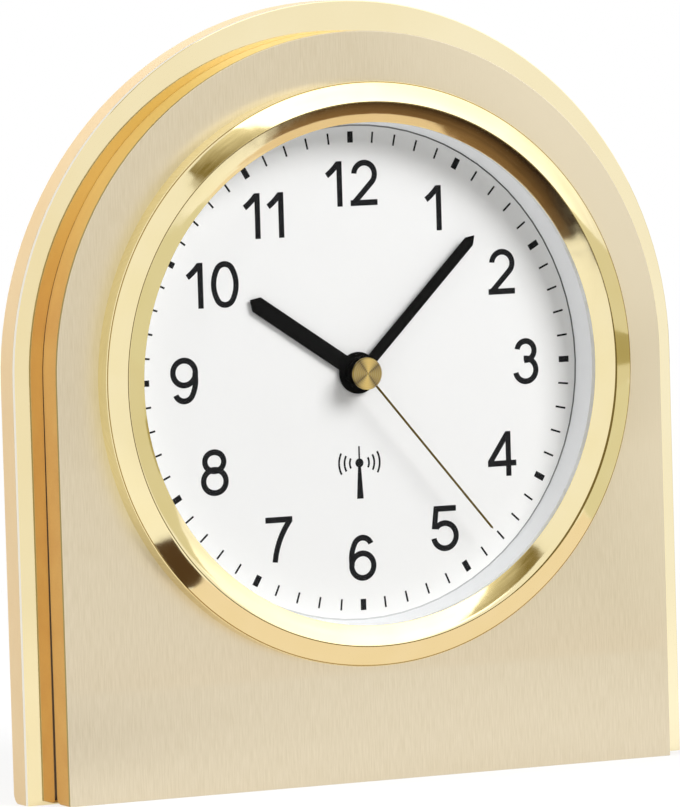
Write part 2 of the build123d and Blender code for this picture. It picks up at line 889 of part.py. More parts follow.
def make_contact_plus():
    low_depth = battery_depth - nub_radius
    high_depth = battery_depth + nub_radius
    points = [
        (bay_half - contact_thickness, low_depth),
        (bay_half, low_depth),
        (bay_half, high_depth),
        (bay_half - contact_thickness, high_depth),
    ]
    return bay_strip(points)


def make_contact_minus():
    """Folded leaf spring: a strip on the end wall, turned back to bear on the battery."""
    wall = -bay_half
    tip = battery_minus_end - contact_gap
    top = battery_depth + battery_radius - leaf_inset
    points = [
        (wall, battery_depth - battery_radius + leaf_inset),
        (wall + contact_thickness, battery_depth - battery_radius + leaf_inset),
        (wall + contact_thickness, top - 2 * contact_thickness),
        (tip - contact_thickness, battery_depth),
        (tip, battery_depth),
        (wall + 2 * contact_thickness, top),
        (wall, top),
    ]
    return bay_strip(points)


# Rear foot
def make_foot_angle():
    """Bent strip: an upright leg on the back block and a sole along the table."""
    rear = back_block_rear + foot_reach
    leg_rear = back_block_rear + foot_thickness
    sole_top = pad_thickness + foot_thickness
    points = [
        (face_y + back_block_rear, pad_thickness),
        (face_y + rear, pad_thickness),
        (face_y + rear, sole_top),
        (face_y + leg_rear, sole_top),
        (face_y + leg_rear, pad_thickness + foot_leg_height),
        (face_y + back_block_rear, pad_thickness + foot_leg_height),
    ]
    section = make_face(Polyline(*points, close=True))
    inner_corner = section.vertices().sort_by_distance((points[3][0], points[3][1], 0))[0]
    section = fillet(inner_corner, foot_bend_radius - foot_thickness)
    outer_corner = section.vertices().sort_by_distance((points[0][0], points[0][1], 0))[0]
    section = fillet(outer_corner, foot_bend_radius)
    side = Plane(origin=(-foot_width / 2, 0, 0), x_dir=(0, 1, 0), z_dir=(1, 0, 0))
    angle = extrude(side * section, amount=foot_width)
    for place in foot_screw_places:
        angle -= rod(wood_screw_radius + fit_gap, back_block_rear, leg_rear, place)
    return angle


def make_foot_screws():
    screws = Part()
    seat = back_block_rear + foot_thickness
    length = foot_thickness + short_screw_bite
    for place in foot_screw_places:
        screws += pan_screw(place, seat, wood_screw_head, wood_screw_radius, length)
    return screws


def make_foot_pads():
    pads = Part()
    for side in (-1, 1):
        x = side * (foot_width / 2 - pad_inset)
        y = face_y + back_block_rear + foot_reach - pad_inset
        pads += extrude(Pos(x, y, 0) * Circle(pad_radius), amount=pad_thickness)
    return pads


parts = {
    "face_sheet": make_face_sheet(),
    "front_block": make_front_block(),
    "mirror_sheet": make_mirror_sheet(),
    "back_block": make_back_block(),
    "block_screws": make_block_screws(),
    "bezel": make_bezel(),
    "glass": make_glass(),
    "depth_ring": make_depth_ring(),
    "dial": make_dial(),
    "hour_hand": make_hour_hand(),
    "minute_hand": make_minute_hand(),
    "second_hand": make_second_hand(),
    "second_cap": make_second_cap(),
    "hour_wheel": make_hour_wheel(),
    "motion_wheel": make_motion_wheel(),
    "minute_wheel": make_minute_wheel(),
    "second_wheel": make_second_wheel(),
    "minute_transfer_wheel": make_transfer_wheel(
        minute_transfer_place, phases["minute_transfer"], minute_layer, minute_transfer_layer
    ),
    "second_transfer_wheel": make_transfer_wheel(
        second_transfer_place, phases["second_transfer"], second_layer, second_transfer_layer
    ),
    "minute_rotor": make_rotor(minute_rotor_place, phases["minute_rotor"], minute_transfer_layer),
    "second_rotor": make_rotor(second_rotor_place, phases["second_rotor"], second_transfer_layer),
    "minute_stator": make_stator(minute_rotor_place),
    "second_stator": make_stator(second_rotor_place),
    "minute_coil": make_coil(minute_rotor_place),
    "second_coil": make_coil(second_rotor_place),
    "movement_case": make_movement_case(),
    "movement_cover": make_movement_cover(),
    "cover_screws": make_cover_screws(),
    "movement_screws": make_movement_screws(),
    "gear_bridge": make_gear_bridge(),
    "circuit_board": make_circuit_board(),
    "controller_chip": make_controller_chip(),
    "quartz_crystal": make_quartz_crystal(),
    "button_switches": make_button_switches(),
    "set_button": make_button(button_places[0]),
    "receive_button": make_button(button_places[1]),
    "antenna_rod": antenna_cylinder(rod_radius, rod_length, 0.0),
    "antenna_coil": make_antenna_coil(),
    "battery": make_battery(),
    "battery_contact_plus": make_contact_plus(),
    "battery_contact_minus": make_contact_minus(),
    "foot_angle": make_foot_angle(),
    "foot_screws": make_foot_screws(),
    "foot_pads": make_foot_pads(),
}

os.makedirs("parts", exist_ok=True)
for name, part in parts.items():
    export_step(part, f"parts/{name}.step")
print(len(parts), "nodes; dial axis at", dial_axis, "face at", face_y, "depth", overall_depth)
print("buttons", [(round(x, 3), round(dial_axis + rise, 3)) for x, rise in button_places])
axes = {
    "motion": motion_place,
    "minute_transfer": minute_transfer_place,
    "minute_rotor": minute_rotor_place,
    "second_transfer": second_transfer_place,
    "second_rotor": second_rotor_place,
}
for name, (x, rise) in axes.items():
    print(name, "axis at", round(x, 4), round(dial_axis + rise, 4))
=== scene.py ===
# %% [markdown]
# # A gold table clock, dressed in Blender
# The clock is two arch-shaped blocks, one in front of the other. The front one wears a brushed
# champagne sheet, the back one a mirror-polished gold sheet, and a polished gold bezel holds the
# glass over a white dial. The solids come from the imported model, already at their real size and place.
# This lesson gives them their finishes, eases their edges, spins the bezel, prints the dial, and sets
# up the light and the camera.

# %% Load the clock
import json
import math

import bmesh
import bpy
from mathutils import Matrix, Vector

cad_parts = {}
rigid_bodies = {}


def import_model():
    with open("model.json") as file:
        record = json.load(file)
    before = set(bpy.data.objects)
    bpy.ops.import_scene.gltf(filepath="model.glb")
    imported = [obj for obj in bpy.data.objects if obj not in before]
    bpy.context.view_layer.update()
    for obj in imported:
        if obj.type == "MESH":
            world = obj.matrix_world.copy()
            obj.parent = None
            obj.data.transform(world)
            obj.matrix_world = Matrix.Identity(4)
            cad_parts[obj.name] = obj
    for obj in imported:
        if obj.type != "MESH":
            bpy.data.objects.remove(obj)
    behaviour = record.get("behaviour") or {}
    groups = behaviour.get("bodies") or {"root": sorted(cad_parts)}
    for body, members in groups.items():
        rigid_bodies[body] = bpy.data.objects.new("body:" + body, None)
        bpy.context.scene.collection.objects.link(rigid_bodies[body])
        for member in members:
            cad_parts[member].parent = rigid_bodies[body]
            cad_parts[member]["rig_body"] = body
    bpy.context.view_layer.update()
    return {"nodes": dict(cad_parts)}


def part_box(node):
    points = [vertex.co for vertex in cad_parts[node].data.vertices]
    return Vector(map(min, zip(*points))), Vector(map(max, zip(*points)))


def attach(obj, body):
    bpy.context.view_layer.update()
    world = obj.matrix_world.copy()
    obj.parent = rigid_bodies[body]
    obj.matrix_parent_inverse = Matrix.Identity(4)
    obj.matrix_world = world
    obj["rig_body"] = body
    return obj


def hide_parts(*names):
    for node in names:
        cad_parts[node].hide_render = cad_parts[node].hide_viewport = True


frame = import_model()
nodes = frame["nodes"]

# %% [markdown]
# ## Where things are
# Nothing is placed by eye. The dial's centre, the brushed face and the front of the dial are read from
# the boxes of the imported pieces, and every new size is written in millimetres.

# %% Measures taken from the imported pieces
MM = 0.001
face_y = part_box("face_sheet")[0].y
dial_low, dial_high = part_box("dial")
dial_front = dial_low.y
dial_centre = Vector((0.0, face_y, (dial_low.z + dial_high.z) / 2))
print("brushed face at y", round(face_y / MM, 2), "dial axis at z", round(dial_centre.z / MM, 2))

# %% [markdown]
# ## The camera
# The photograph looks at the clock from its left and a little from above, through a long lens: the two
# sides of the arch stay almost parallel. The aim is the point of the brushed face that falls in the
# middle of the picture, and the lens follows from how large one millimetre is there.

# %% Camera
aim_x, aim_z = -5.8, 77.95
camera_distance = 1509.0 * MM
camera_yaw = math.radians(26.165)
camera_pitch = math.radians(-3.76)
camera_roll = math.radians(-1.67)
picture_height = 807  # in pixels
pixels_per_mm = 4.8984  # on the aim point, square to the view

camera_data = bpy.data.cameras.new("view_camera")
camera_data.sensor_width = 36.0
focal_pixels = pixels_per_mm * camera_distance / MM
camera_data.lens = focal_pixels / picture_height * camera_data.sensor_width
camera = bpy.data.objects.new("view_camera", camera_data)
turn = (
    Matrix.Rotation(-camera_yaw, 4, "Z")
    @ Matrix.Rotation(math.pi / 2 + camera_pitch, 4, "X")
    @ Matrix.Rotation(camera_roll, 4, "Z")
)
camera_aim = Vector((aim_x * MM, face_y, aim_z * MM))
camera_place = camera_aim + turn.to_3x3() @ Vector((0.0, 0.0, camera_distance))
camera.matrix_world = Matrix.Translation(camera_place) @ turn
bpy.context.scene.collection.objects.link(camera)
bpy.context.scene.camera = camera
bpy.context.scene.view_settings.view_transform = "Standard"
print("lens", round(camera_data.lens, 1), "mm, camera at", [round(v, 3) for v in camera_place])

# %% [markdown]
# ## Small helpers for finishes
# `linear` turns the sRGB hex of a colour into the linear numbers that Blender's sockets hold. `feed`
# sets or links the inputs of a node, and `add` makes one node with its settings and feeds it. A node
# that is passed as an input stands for its first live output. `finish` starts a material whose
# constant values go straight onto the shader, which is where an exporter looks for them.

# %% Colour, node and material helpers
FACTOR, FIRST, SECOND = 0, 6, 7  # inputs of a Mix node that mixes colours


def linear(hex_colour):
    """sRGB hex to linear red, green, blue and alpha."""
    channels = [int(hex_colour[at : at + 2], 16) / 255 for at in (1, 3, 5)]
    curve = [c / 12.92 if c <= 0.04045 else ((c + 0.055) / 1.055) ** 2.4 for c in channels]
    return (*curve, 1.0)


def feed(node, inputs):
    """Sets each input to a value or a hex colour, or links it to a node or to one of its outputs."""
    for name, value in inputs.items():
        if isinstance(value, bpy.types.Node):
            value = next(output for output in value.outputs if output.enabled)
        if isinstance(value, bpy.types.NodeSocket):
            node.id_data.links.new(value, node.inputs[name])
        else:
            node.inputs[name].default_value = linear(value) if isinstance(value, str) else value


def add(tree, kind, inputs=None, **settings):
    """One node with its settings, fed with its inputs."""
    made = tree.nodes.new(kind)
    for name, value in settings.items():
        setattr(made, name, value)
    feed(made, inputs or {})
    return made


def finish(name, values):
    """A material, its tree, its Principled shader with the values on its sockets, and coordinates."""
    made = bpy.data.materials.new(name)
    made.use_nodes = True
    tree = made.node_tree
    shader = tree.nodes["Principled BSDF"]
    feed(shader, values)
    print("finish", name)
    return made, tree, shader, add(tree, "ShaderNodeTexCoord").outputs


def per_mm(size):
    """Texture scale that repeats once in a size given in millimetres."""
    return 1 / (size * MM)


# %% [markdown]
# ## Floor, background and lamps
# The photograph was taken in a studio and cut out on white. A white floor and a white world give that
# background. Polished gold has no colour of its own beyond a tint: what it shows is the room, so the
# room matters more than the paint here. A softbox stands high on the right, as the shadows on the dial
# tell. The world is white for what the camera and the metal see, and dimmer as a light, so that the
# softbox still models the dial. The lamps themselves are kept out of the reflections.

# %% World
ambient_light = 0.35

world = bpy.data.worlds.new("studio")
world.use_nodes = True
sky = world.node_tree
sky.nodes.clear()
path = add(sky, "ShaderNodeLightPath").outputs
seen = add(sky, "ShaderNodeMath", {0: path["Is Camera Ray"], 1: path["Is Glossy Ray"]}, operation="MAXIMUM")
seen = add(sky, "ShaderNodeMath", {0: seen, 1: path["Is Transmission Ray"]}, operation="MAXIMUM")
strength = add(sky, "ShaderNodeMapRange", {"Value": seen, "To Min": ambient_light, "To Max": 1.0})
background = add(sky, "ShaderNodeBackground", {"Color": "#ffffff", "Strength": strength})
add(sky, "ShaderNodeOutputWorld", {"Surface": background})
bpy.context.scene.world = world
print("world lights with", ambient_light, "of what it shows")

# %% Floor
floor_radius = 3.0
floor_glow = 0.65  # share of its white that the floor keeps inside a shadow, close to the clock
glow_start, glow_reach = 0.1, 0.45  # from the second on, in metres, the floor is all white

floor_finish, tree, shader, place = finish("white_studio_floor", {"Roughness": 0.9})
path = add(tree, "ShaderNodeLightPath").outputs
seen = add(tree, "ShaderNodeMath", {0: path["Is Camera Ray"], 1: path["Is Glossy Ray"]}, operation="MAXIMUM")
paper = add(tree, "ShaderNodeMix", {FACTOR: seen, FIRST: "#9c9c9c", SECOND: "#ececec"}, data_type="RGBA")
feed(shader, {"Base Color": paper})
away = add(tree, "ShaderNodeVectorMath", {0: place["Object"]}, operation="LENGTH")
whiter = add(
    tree,
    "ShaderNodeMapRange",
    {"Value": away, "From Min": glow_start, "From Max": glow_reach, "To Min": floor_glow},
)
share = add(tree, "ShaderNodeMath", {0: seen, 1: whiter}, operation="MULTIPLY")
glow = add(tree, "ShaderNodeEmission", {"Color": "#ffffff", "Strength": 1.0})
mixed = add(tree, "ShaderNodeMixShader", {0: share, 1: shader, 2: glow})
feed(tree.nodes["Material Output"], {"Surface": mixed})


def shaped(name, bm, material):
    """Object at the origin, made of a bmesh that is used up, in one material."""
    mesh = bpy.data.meshes.new(name)
    bm.to_mesh(mesh)
    bm.free()
    mesh.materials.append(material)
    made = bpy.data.objects.new(name, mesh)
    bpy.context.scene.collection.objects.link(made)
    print(name, len(mesh.polygons), "faces")
    return made


bm = bmesh.new()
bmesh.ops.create_circle(bm, cap_ends=True, segments=96, radius=floor_radius)
floor = shaped("studio_floor", bm, floor_finish)


# %% Lamps
def direction(azimuth, elevation):
    """Unit vector from the dial: azimuth 0 is straight in front, positive to the right."""
    across, up = math.radians(azimuth), math.radians(elevation)
    return Vector((math.sin(across) * math.cos(up), -math.cos(across) * math.cos(up), math.sin(up)))


def softbox(name, azimuth, elevation, distance, width, height, radiance):
    """Rectangular lamp aimed at the dial; its power follows from the brightness it should show."""
    lamp = bpy.data.lights.new(name, "AREA")
    lamp.shape = "RECTANGLE"
    lamp.size, lamp.size_y = width, height
    lamp.energy = radiance * math.pi * width * height
    stand = bpy.data.objects.new(name, lamp)
    towards = direction(azimuth, elevation)
    aimed = (-towards).to_track_quat("-Z", "Y").to_matrix().to_4x4()
    stand.matrix_world = Matrix.Translation(dial_centre + towards * distance) @ aimed
    stand.visible_glossy = False
    bpy.context.scene.collection.objects.link(stand)
    print(name, round(lamp.energy, 1), "W")


softbox("key_softbox", 36, 37, distance=1.15, width=0.6, height=0.55, radiance=11.7)
softbox("left_fill", -82, 38, distance=1.3, width=0.9, height=0.9, radiance=5.4)
softbox("rear_fill", 165, 38, distance=1.3, width=1.0, height=0.8, radiance=2.2)

# %% [markdown]
# ## Cards that only the metal sees
# A product photographer stands cards round polished metal, to give it dark and warm lines. These do
# the same: they glow faintly, only reflections see them, and they light nothing. A card shows its
# colour on the side that faces the dial and nothing on the other, so it can hang close to the clock
# without darkening the lower half of the bezel from above. The warm card in front slopes down away from
# the clock: the bezel looks steeply down onto it, while the flat sheets look almost level and miss it.

# %% A reflection card
smear_count, smear_share = 3, 0.6  # streaks along a fade, and how much of it they shift


def spot(corner):
    """Place of a corner given as X, distance ahead of the face and height, in millimetres."""
    x, ahead, height = corner
    return Vector((x * MM, face_y - ahead * MM, height * MM))


def card(name, corners, colour, strength=1.0, fade=None):
    """Flat card through its corners; a fade is a second colour, and from where to where it comes in."""
    made = bpy.data.materials.new(name)
    made.use_nodes = True
    tree = made.node_tree
    tree.nodes.clear()
    glow = add(tree, "ShaderNodeEmission", {"Color": colour, "Strength": strength})
    if fade:
        second, start, end = fade
        run = spot(end) - spot(start)
        place = add(tree, "ShaderNodeTexCoord").outputs["Object"]
        smear = add(tree, "ShaderNodeTexNoise", {"Vector": place, "Scale": smear_count / run.length})
        offset = add(tree, "ShaderNodeVectorMath", {0: place, 1: spot(start)}, operation="SUBTRACT")
        pace = run / run.length_squared
        along = add(tree, "ShaderNodeVectorMath", {0: offset, 1: pace}, operation="DOT_PRODUCT")
        share = add(tree, "ShaderNodeMath", {0: smear, 1: smear_share, 2: along}, operation="MULTIPLY_ADD")
        limits = {"From Min": smear_share / 2, "From Max": 1 + smear_share / 2}
        shift = add(tree, "ShaderNodeMapRange", {"Value": share, **limits})
        blend = add(tree, "ShaderNodeMix", {FACTOR: shift, FIRST: colour, SECOND: second}, data_type="RGBA")
        feed(glow, {"Color": blend})
    nothing = add(tree, "ShaderNodeBsdfTransparent")
    side = add(tree, "ShaderNodeNewGeometry").outputs["Backfacing"]
    shown = add(tree, "ShaderNodeMixShader", {0: side, 1: glow, 2: nothing})
    add(tree, "ShaderNodeOutputMaterial", {"Surface": shown})
    bm = bmesh.new()
    face = bm.faces.new([bm.verts.new(spot(corner)) for corner in corners])
    face.normal_update()
    if face.normal.dot(dial_centre - face.calc_center_median()) < 0:
        bmesh.ops.reverse_faces(bm, faces=[face])
    placed = shaped(name, bm, made)
    placed.visible_camera = False
    placed.visible_diffuse = False
    placed.visible_transmission = False
    placed.visible_shadow = False


# %% [markdown]
# ## Where the cards hang
# A lying card is an outline in X and distance ahead of the face, at one height or sloping to the floor.
# A standing card is an outline in azimuth and elevation, as the dial sees it. Each outline is the
# patch of colour that the photographed bezel shows, carried back along the reflected rays.


# %% Cards on the floor and in front
def level(outline, height):
    """Corners of a level card; the outline is X and distance ahead of the face."""
    return [(x, ahead, height) for x, ahead in outline]


warm_near_height, warm_reach = 22.0, 120.0  # height at the face, and where it meets the floor
raised_height = 62.0
corner_height, right_height = 1.0, 0.5
strip_low, strip_high = 76.5, 87.5

warm_outline = [(-57, 6), (-49, 35), (-25, 114), (40, 118), (192, 118), (152, 60), (130, 24), (119, 6)]
warm_corners = [(x, ahead, warm_near_height * (1 - ahead / warm_reach)) for x, ahead in warm_outline]
warm_raised_outline = [(38, 68), (58, 50), (70, 70), (70, 87), (58, 92), (50, 97), (36, 69)]
corner_outline = [(-54, 52), (-77, 86), (-60, 124), (-33, 176), (-24, 112), (-42, 74)]
right_outline = [(170, 30), (181, 78), (196, 130), (225, 165), (300, 370), (420, 500), (600, 640)]
right_outline += [(800, 560), (800, 120), (520, 70)]
dark_outline = [(36, 69), (50, 97), (58, 92), (70, 87), (82, 121), (97, 158), (133, 241), (126, 310)]
dark_outline += [(90, 250), (74, 208), (54, 169), (39, 141), (27, 117), (18, 95)]
dark_fade = ("#2c2018", (60, 80, raised_height), (20, 137, raised_height))
strip_corners = [(134, 70, strip_low), (157, 20, strip_low), (157, 20, strip_high), (134, 70, strip_high)]

card("warm_sloping_card", warm_corners, "#fbeedf")
card("warm_raised_card", level(warm_raised_outline, raised_height), "#efdac2")
card("dark_corner_card", level(corner_outline, corner_height), "#54402c")
card("right_floor_card", level(right_outline, right_height), "#e6e4cf")
card("dark_raised_card", level(dark_outline, raised_height), "#8e7050", fade=dark_fade)
card("right_dark_strip", strip_corners, "#b6ac7f")


# %% Cards that stand further off
def bearing(azimuth, elevation, distance):
    """Corner seen from the dial at these angles and this distance."""
    point = direction(azimuth, elevation) * distance
    return (point.x, -point.y, point.z + dial_centre.z / MM)


def standing(outline, distance):
    """Corners of a card at a distance from the dial; the outline is in azimuth and elevation."""
    return [bearing(*angles, distance) for angles in outline]


olive_distance, side_distance, bank_distance = 1000.0, 900.0, 1100.0
bank_strength = 2.2

olive_outline = [(9, 14), (20, 15), (14, 25), (6, 37), (1, 41), (-9, 33), (1, 22.5)]
olive_fade = ("#f4ecd0", bearing(4, 22, olive_distance), bearing(12, 29, olive_distance))
side_outline = [(44, -5.3), (86, -5.3), (86, 9.5), (44, 9.5)]
bank_outline = [(15, 14), (9, 24), (1, 37), (0, 46), (40, 48), (70, 36), (82, 20), (78, 10)]
bank_outline += [(62, 8.5), (49, 6.5)]
bank_fade = ("#b4b4b4", bearing(20, 32, bank_distance), bearing(70, 14, bank_distance))

card("olive_upper_card", standing(olive_outline, olive_distance), "#837444", fade=olive_fade)
card("right_side_card", standing(side_outline, side_distance), "#e3dfc8")
card("white_bank_card", standing(bank_outline, bank_distance), "#ffffff", bank_strength, bank_fade)

# %% [markdown]
# ## Brushed champagne aluminium
# The front sheet is anodised aluminium, brushed upright. Brushing leaves fine parallel scratches, and
# each tips the surface a little sideways. So the sheet spreads what it reflects to the left and right,
# but hardly up and down: an anisotropic shine, with its long axis across the scratches. A noise
# stretched along the height draws the scratches themselves. They are really a few hundredths of a
# millimetre wide, and are drawn at 0.28 mm, the finest that shows. Towards the upper right the colour
# is painted paler, as painted light. The cut edge of the sheet is bare, and is painted darker as
# painted shade for the dark it reflects. The edge is told by its direction: the face looks along Y and
# the edge does not.

# %% Brushed sheet
scratch_width, scratch_length = 0.28, 4.5
pale_lean = 0.5  # how much height counts beside X for the paler corner
pale_start, pale_end = 75.0, 110.0
front_full = 0.6  # a face that looks along Y this much counts as a front


def front_share(tree, normal, start):
    """From 0 on edges to 1 on the faces that look along Y."""
    facing = add(tree, "ShaderNodeSeparateXYZ", {0: normal}).outputs["Y"]
    flat = add(tree, "ShaderNodeMath", {0: facing}, operation="ABSOLUTE")
    return add(tree, "ShaderNodeMapRange", {"Value": flat, "From Min": start, "From Max": front_full})


brushed_champagne, tree, shader, place = finish(
    "anodised_aluminium_brushed_champagne", {"Metallic": 1.0, "Roughness": 0.36, "Anisotropic": 0.9}
)
stretch = (per_mm(scratch_width), per_mm(scratch_width), per_mm(scratch_length))
across = add(tree, "ShaderNodeMapping", {"Vector": place["Object"], "Scale": stretch})
fineness = {"Scale": 1.0, "Detail": 3.0, "Roughness": 0.6}
scratches = add(tree, "ShaderNodeTexNoise", {"Vector": across, **fineness})
tone = add(tree, "ShaderNodeMapRange", {"Value": scratches, "From Min": 0.3, "From Max": 0.7})
brushed = add(tree, "ShaderNodeMix", {FACTOR: tone, FIRST: "#ded0b3", SECOND: "#eaddc3"}, data_type="RGBA")
# Painted light: the colour is painted paler towards the upper right.
at = add(tree, "ShaderNodeSeparateXYZ", {0: place["Object"]}).outputs
corner = add(tree, "ShaderNodeMath", {0: at["Z"], 1: pale_lean, 2: at["X"]}, operation="MULTIPLY_ADD")
limits = {"From Min": pale_start * MM, "From Max": pale_end * MM}
paler = add(tree, "ShaderNodeMapRange", {"Value": corner, **limits})
painted_paler_tone = add(tree, "ShaderNodeMix", {FACTOR: paler, FIRST: brushed, SECOND: "#f4e7cc"}, data_type="RGBA")
# Painted shade: the cut edge is painted darker, for the dark that it reflects.
is_face = front_share(tree, place["Normal"], 0.3)
colour = add(tree, "ShaderNodeMix", {FACTOR: is_face, FIRST: "#a89a68", SECOND: painted_paler_tone}, data_type="RGBA")
gloss = add(tree, "ShaderNodeMapRange", {"Value": scratches, "To Min": 0.31, "To Max": 0.41})
sideways = add(tree, "ShaderNodeTangent", direction_type="RADIAL", axis="Z")
feed(shader, {"Base Color": colour, "Roughness": gloss, "Tangent": sideways})

# %% [markdown]
# ## Mirror gold sheet
# The back sheet is the same metal, dyed gold and polished: a mirror, with only a breath of haze. Its
# colour is painted a shade paler to the right, as painted light. Where it was cut, the dye and the
# polish end and the pale metal shows. That white line is what separates the two golds at the clock's
# left side.

# %% Mirror sheet
haze_size = 26.0
painted_light_slope = 5.5  # per metre to the right

mirror_gold, tree, shader, place = finish(
    "anodised_aluminium_mirror_gold", {"Metallic": 1.0, "Roughness": 0.05}
)
haze = add(tree, "ShaderNodeTexNoise", {"Vector": place["Object"], "Scale": per_mm(haze_size)})
# Painted light: the gold turns paler to the right, with the haze noise mixed in.
across = add(tree, "ShaderNodeSeparateXYZ", {0: place["Object"]}).outputs["X"]
paler = add(tree, "ShaderNodeMath", {0: across, 1: painted_light_slope, 2: haze}, operation="MULTIPLY_ADD")
gold = add(tree, "ShaderNodeMix", {FACTOR: paler, FIRST: "#efdeae", SECOND: "#f8ecc6"}, data_type="RGBA")
is_face = front_share(tree, place["Normal"], 0.3)
colour = add(tree, "ShaderNodeMix", {FACTOR: is_face, FIRST: "#efe9da", SECOND: gold}, data_type="RGBA")
gloss = add(tree, "ShaderNodeMapRange", {"Value": is_face, "To Min": 0.4, "To Max": 0.05})
feed(shader, {"Base Color": colour, "Roughness": gloss})

# %% [markdown]
# ## Two lacquers on the blocks
# Most plain surfaces share one pattern: two tones, a noise as fine as the real surface, and a gloss or
# a relief that follows the noise. The blocks are fibreboard, sprayed and rubbed down. Spray leaves
# a fine grain, soft clouds and a satin gloss. The front block is ochre gold, and its upward faces are
# painted yellower, a painted highlight for the light from above. The back block is a pale peach gold.
# Round the rear of the front block runs a dark line of painted shade. It stands for the shadowed gap
# where the joint opens a little towards the table, and it closes before the top of the arch.

# %% Finishes with a grain
tone_low, tone_high = 0.6, 1.4  # sum of grain and cloud at the first and the second tone


def grained(name, tones, grain, gloss=None, values=None, relief=None, noise=(4.0, 0.65), cloud=None):
    """Two tones mixed by a grain and maybe a cloud, in mm; relief is a strength and a height in mm."""
    made, tree, shader, place = finish(name, values or {})
    fineness = {"Scale": per_mm(grain), "Detail": noise[0], "Roughness": noise[1]}
    speckle = add(tree, "ShaderNodeTexNoise", {"Vector": place["Object"], **fineness})
    share = speckle
    if cloud:
        soft = add(tree, "ShaderNodeTexNoise", {"Vector": place["Object"], "Scale": per_mm(cloud)})
        both = add(tree, "ShaderNodeMath", {0: speckle, 1: soft}, operation="ADD")
        limits = {"From Min": tone_low, "From Max": tone_high}
        share = add(tree, "ShaderNodeMapRange", {"Value": both, **limits})
    tone = add(tree, "ShaderNodeMix", {FACTOR: share, FIRST: tones[0], SECOND: tones[1]}, data_type="RGBA")
    feed(shader, {"Base Color": tone})
    if gloss:
        shine = add(tree, "ShaderNodeMapRange", {"Value": speckle, "To Min": gloss[0], "To Max": gloss[1]})
        feed(shader, {"Roughness": shine})
    if relief:
        depth = {"Strength": relief[0], "Distance": relief[1] * MM}
        feed(shader, {"Normal": add(tree, "ShaderNodeBump", {"Height": speckle, **depth})})
    return made


# %% Pale lacquer of the back block
spray_grain = 0.35
SPRAYED = (4.0, 0.7)  # detail and roughness of a noise

pale_gold = grained(
    "sprayed_lacquer_pale_peach_gold",
    ("#e0c08c", "#e6cb9c"),
    spray_grain,
    gloss=(0.30, 0.46),
    values={"Metallic": 0.2, "Roughness": 0.38},
    relief=(0.4, 0.02),
    noise=SPRAYED,
    cloud=14.0,
)

# %% Satin ochre lacquer of the front block
joint_shade_depth = 0.65  # dark line at the table, in millimetres of depth
joint_shade_top = 128.0  # height at which it has closed

front_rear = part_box("front_block")[1].y
satin_gold = grained(
    "sprayed_lacquer_satin_ochre_gold",
    ("#c8924a", "#d8aa5f"),
    spray_grain,
    gloss=(0.34, 0.52),
    values={"Metallic": 0.25, "Roughness": 0.42},
    relief=(0.5, 0.03),
    noise=SPRAYED,
    cloud=9.0,
)
tree = satin_gold.node_tree
place = tree.nodes["Texture Coordinate"].outputs
shader = tree.nodes["Principled BSDF"]
ochre = shader.inputs["Base Color"].links[0].from_socket
# Painted highlight: faces that look up are painted yellower.
facing = add(tree, "ShaderNodeSeparateXYZ", {0: place["Normal"]}).outputs["Z"]
upward = add(tree, "ShaderNodeMapRange", {"Value": facing, "From Min": 0.2, "From Max": 0.9})
painted_top_light = add(tree, "ShaderNodeMix", {FACTOR: upward, FIRST: ochre, SECOND: "#dcbb66"}, data_type="RGBA")
# Painted shade: a dark line along the rear edge stands for the shadowed gap of the joint.
where = add(tree, "ShaderNodeSeparateXYZ", {0: place["Object"]}).outputs
line_depth = add(
    tree,
    "ShaderNodeMapRange",
    {"Value": where["Z"], "From Max": joint_shade_top * MM, "To Min": joint_shade_depth * MM, "To Max": 0.0},
)
line_start = add(tree, "ShaderNodeMath", {0: front_rear, 1: line_depth}, operation="SUBTRACT")
in_painted_shade = add(tree, "ShaderNodeMath", {0: where["Y"], 1: line_start}, operation="GREATER_THAN")
colour = add(tree, "ShaderNodeMix", {FACTOR: in_painted_shade, FIRST: painted_top_light, SECOND: "#2e0a04"}, data_type="RGBA")
feed(shader, {"Base Color": colour})

# %% [markdown]
# ## Polished bezel metal
# The bezel is turned brass, polished and gold-plated. A polishing wheel never leaves a perfect
# surface: long, very shallow waves bend the reflections a little, and that is what tells the eye that
# it is metal and not paint. The waves are only some hundredths of a millimetre high. The flank has a
# paler tone of its own. Two dark hairlines are painted shade. One lies on the ridge, where the two
# slopes meet, for the dark that its rounding reflects. The other lies on the rim over the flank, for the
# dark of the edge and the shade where the bezel meets the sheet. The line on the ridge widens to a
# wedge at the lower right. Both lines are drawn by their radius from the dial's axis.

# %% Polished gold plate
wave_size, wave_height = 8.0, 0.04
rub_size = 2.5
ridge_ring, ridge_shade_width, ridge_shade_wedge = 55.57, 0.18, 0.55  # the line on the ridge, and its widest
wedge_angle = math.radians(112)  # where it is widest, clockwise from upright
wedge_reach = 0.8  # cosine of the angle from there at which the line is thin again
rim_ring, rim_shade_width = 59.55, 0.2
to_axis = (0.0, 0.0, -dial_centre.z)  # shift that brings the dial's axis to the origin

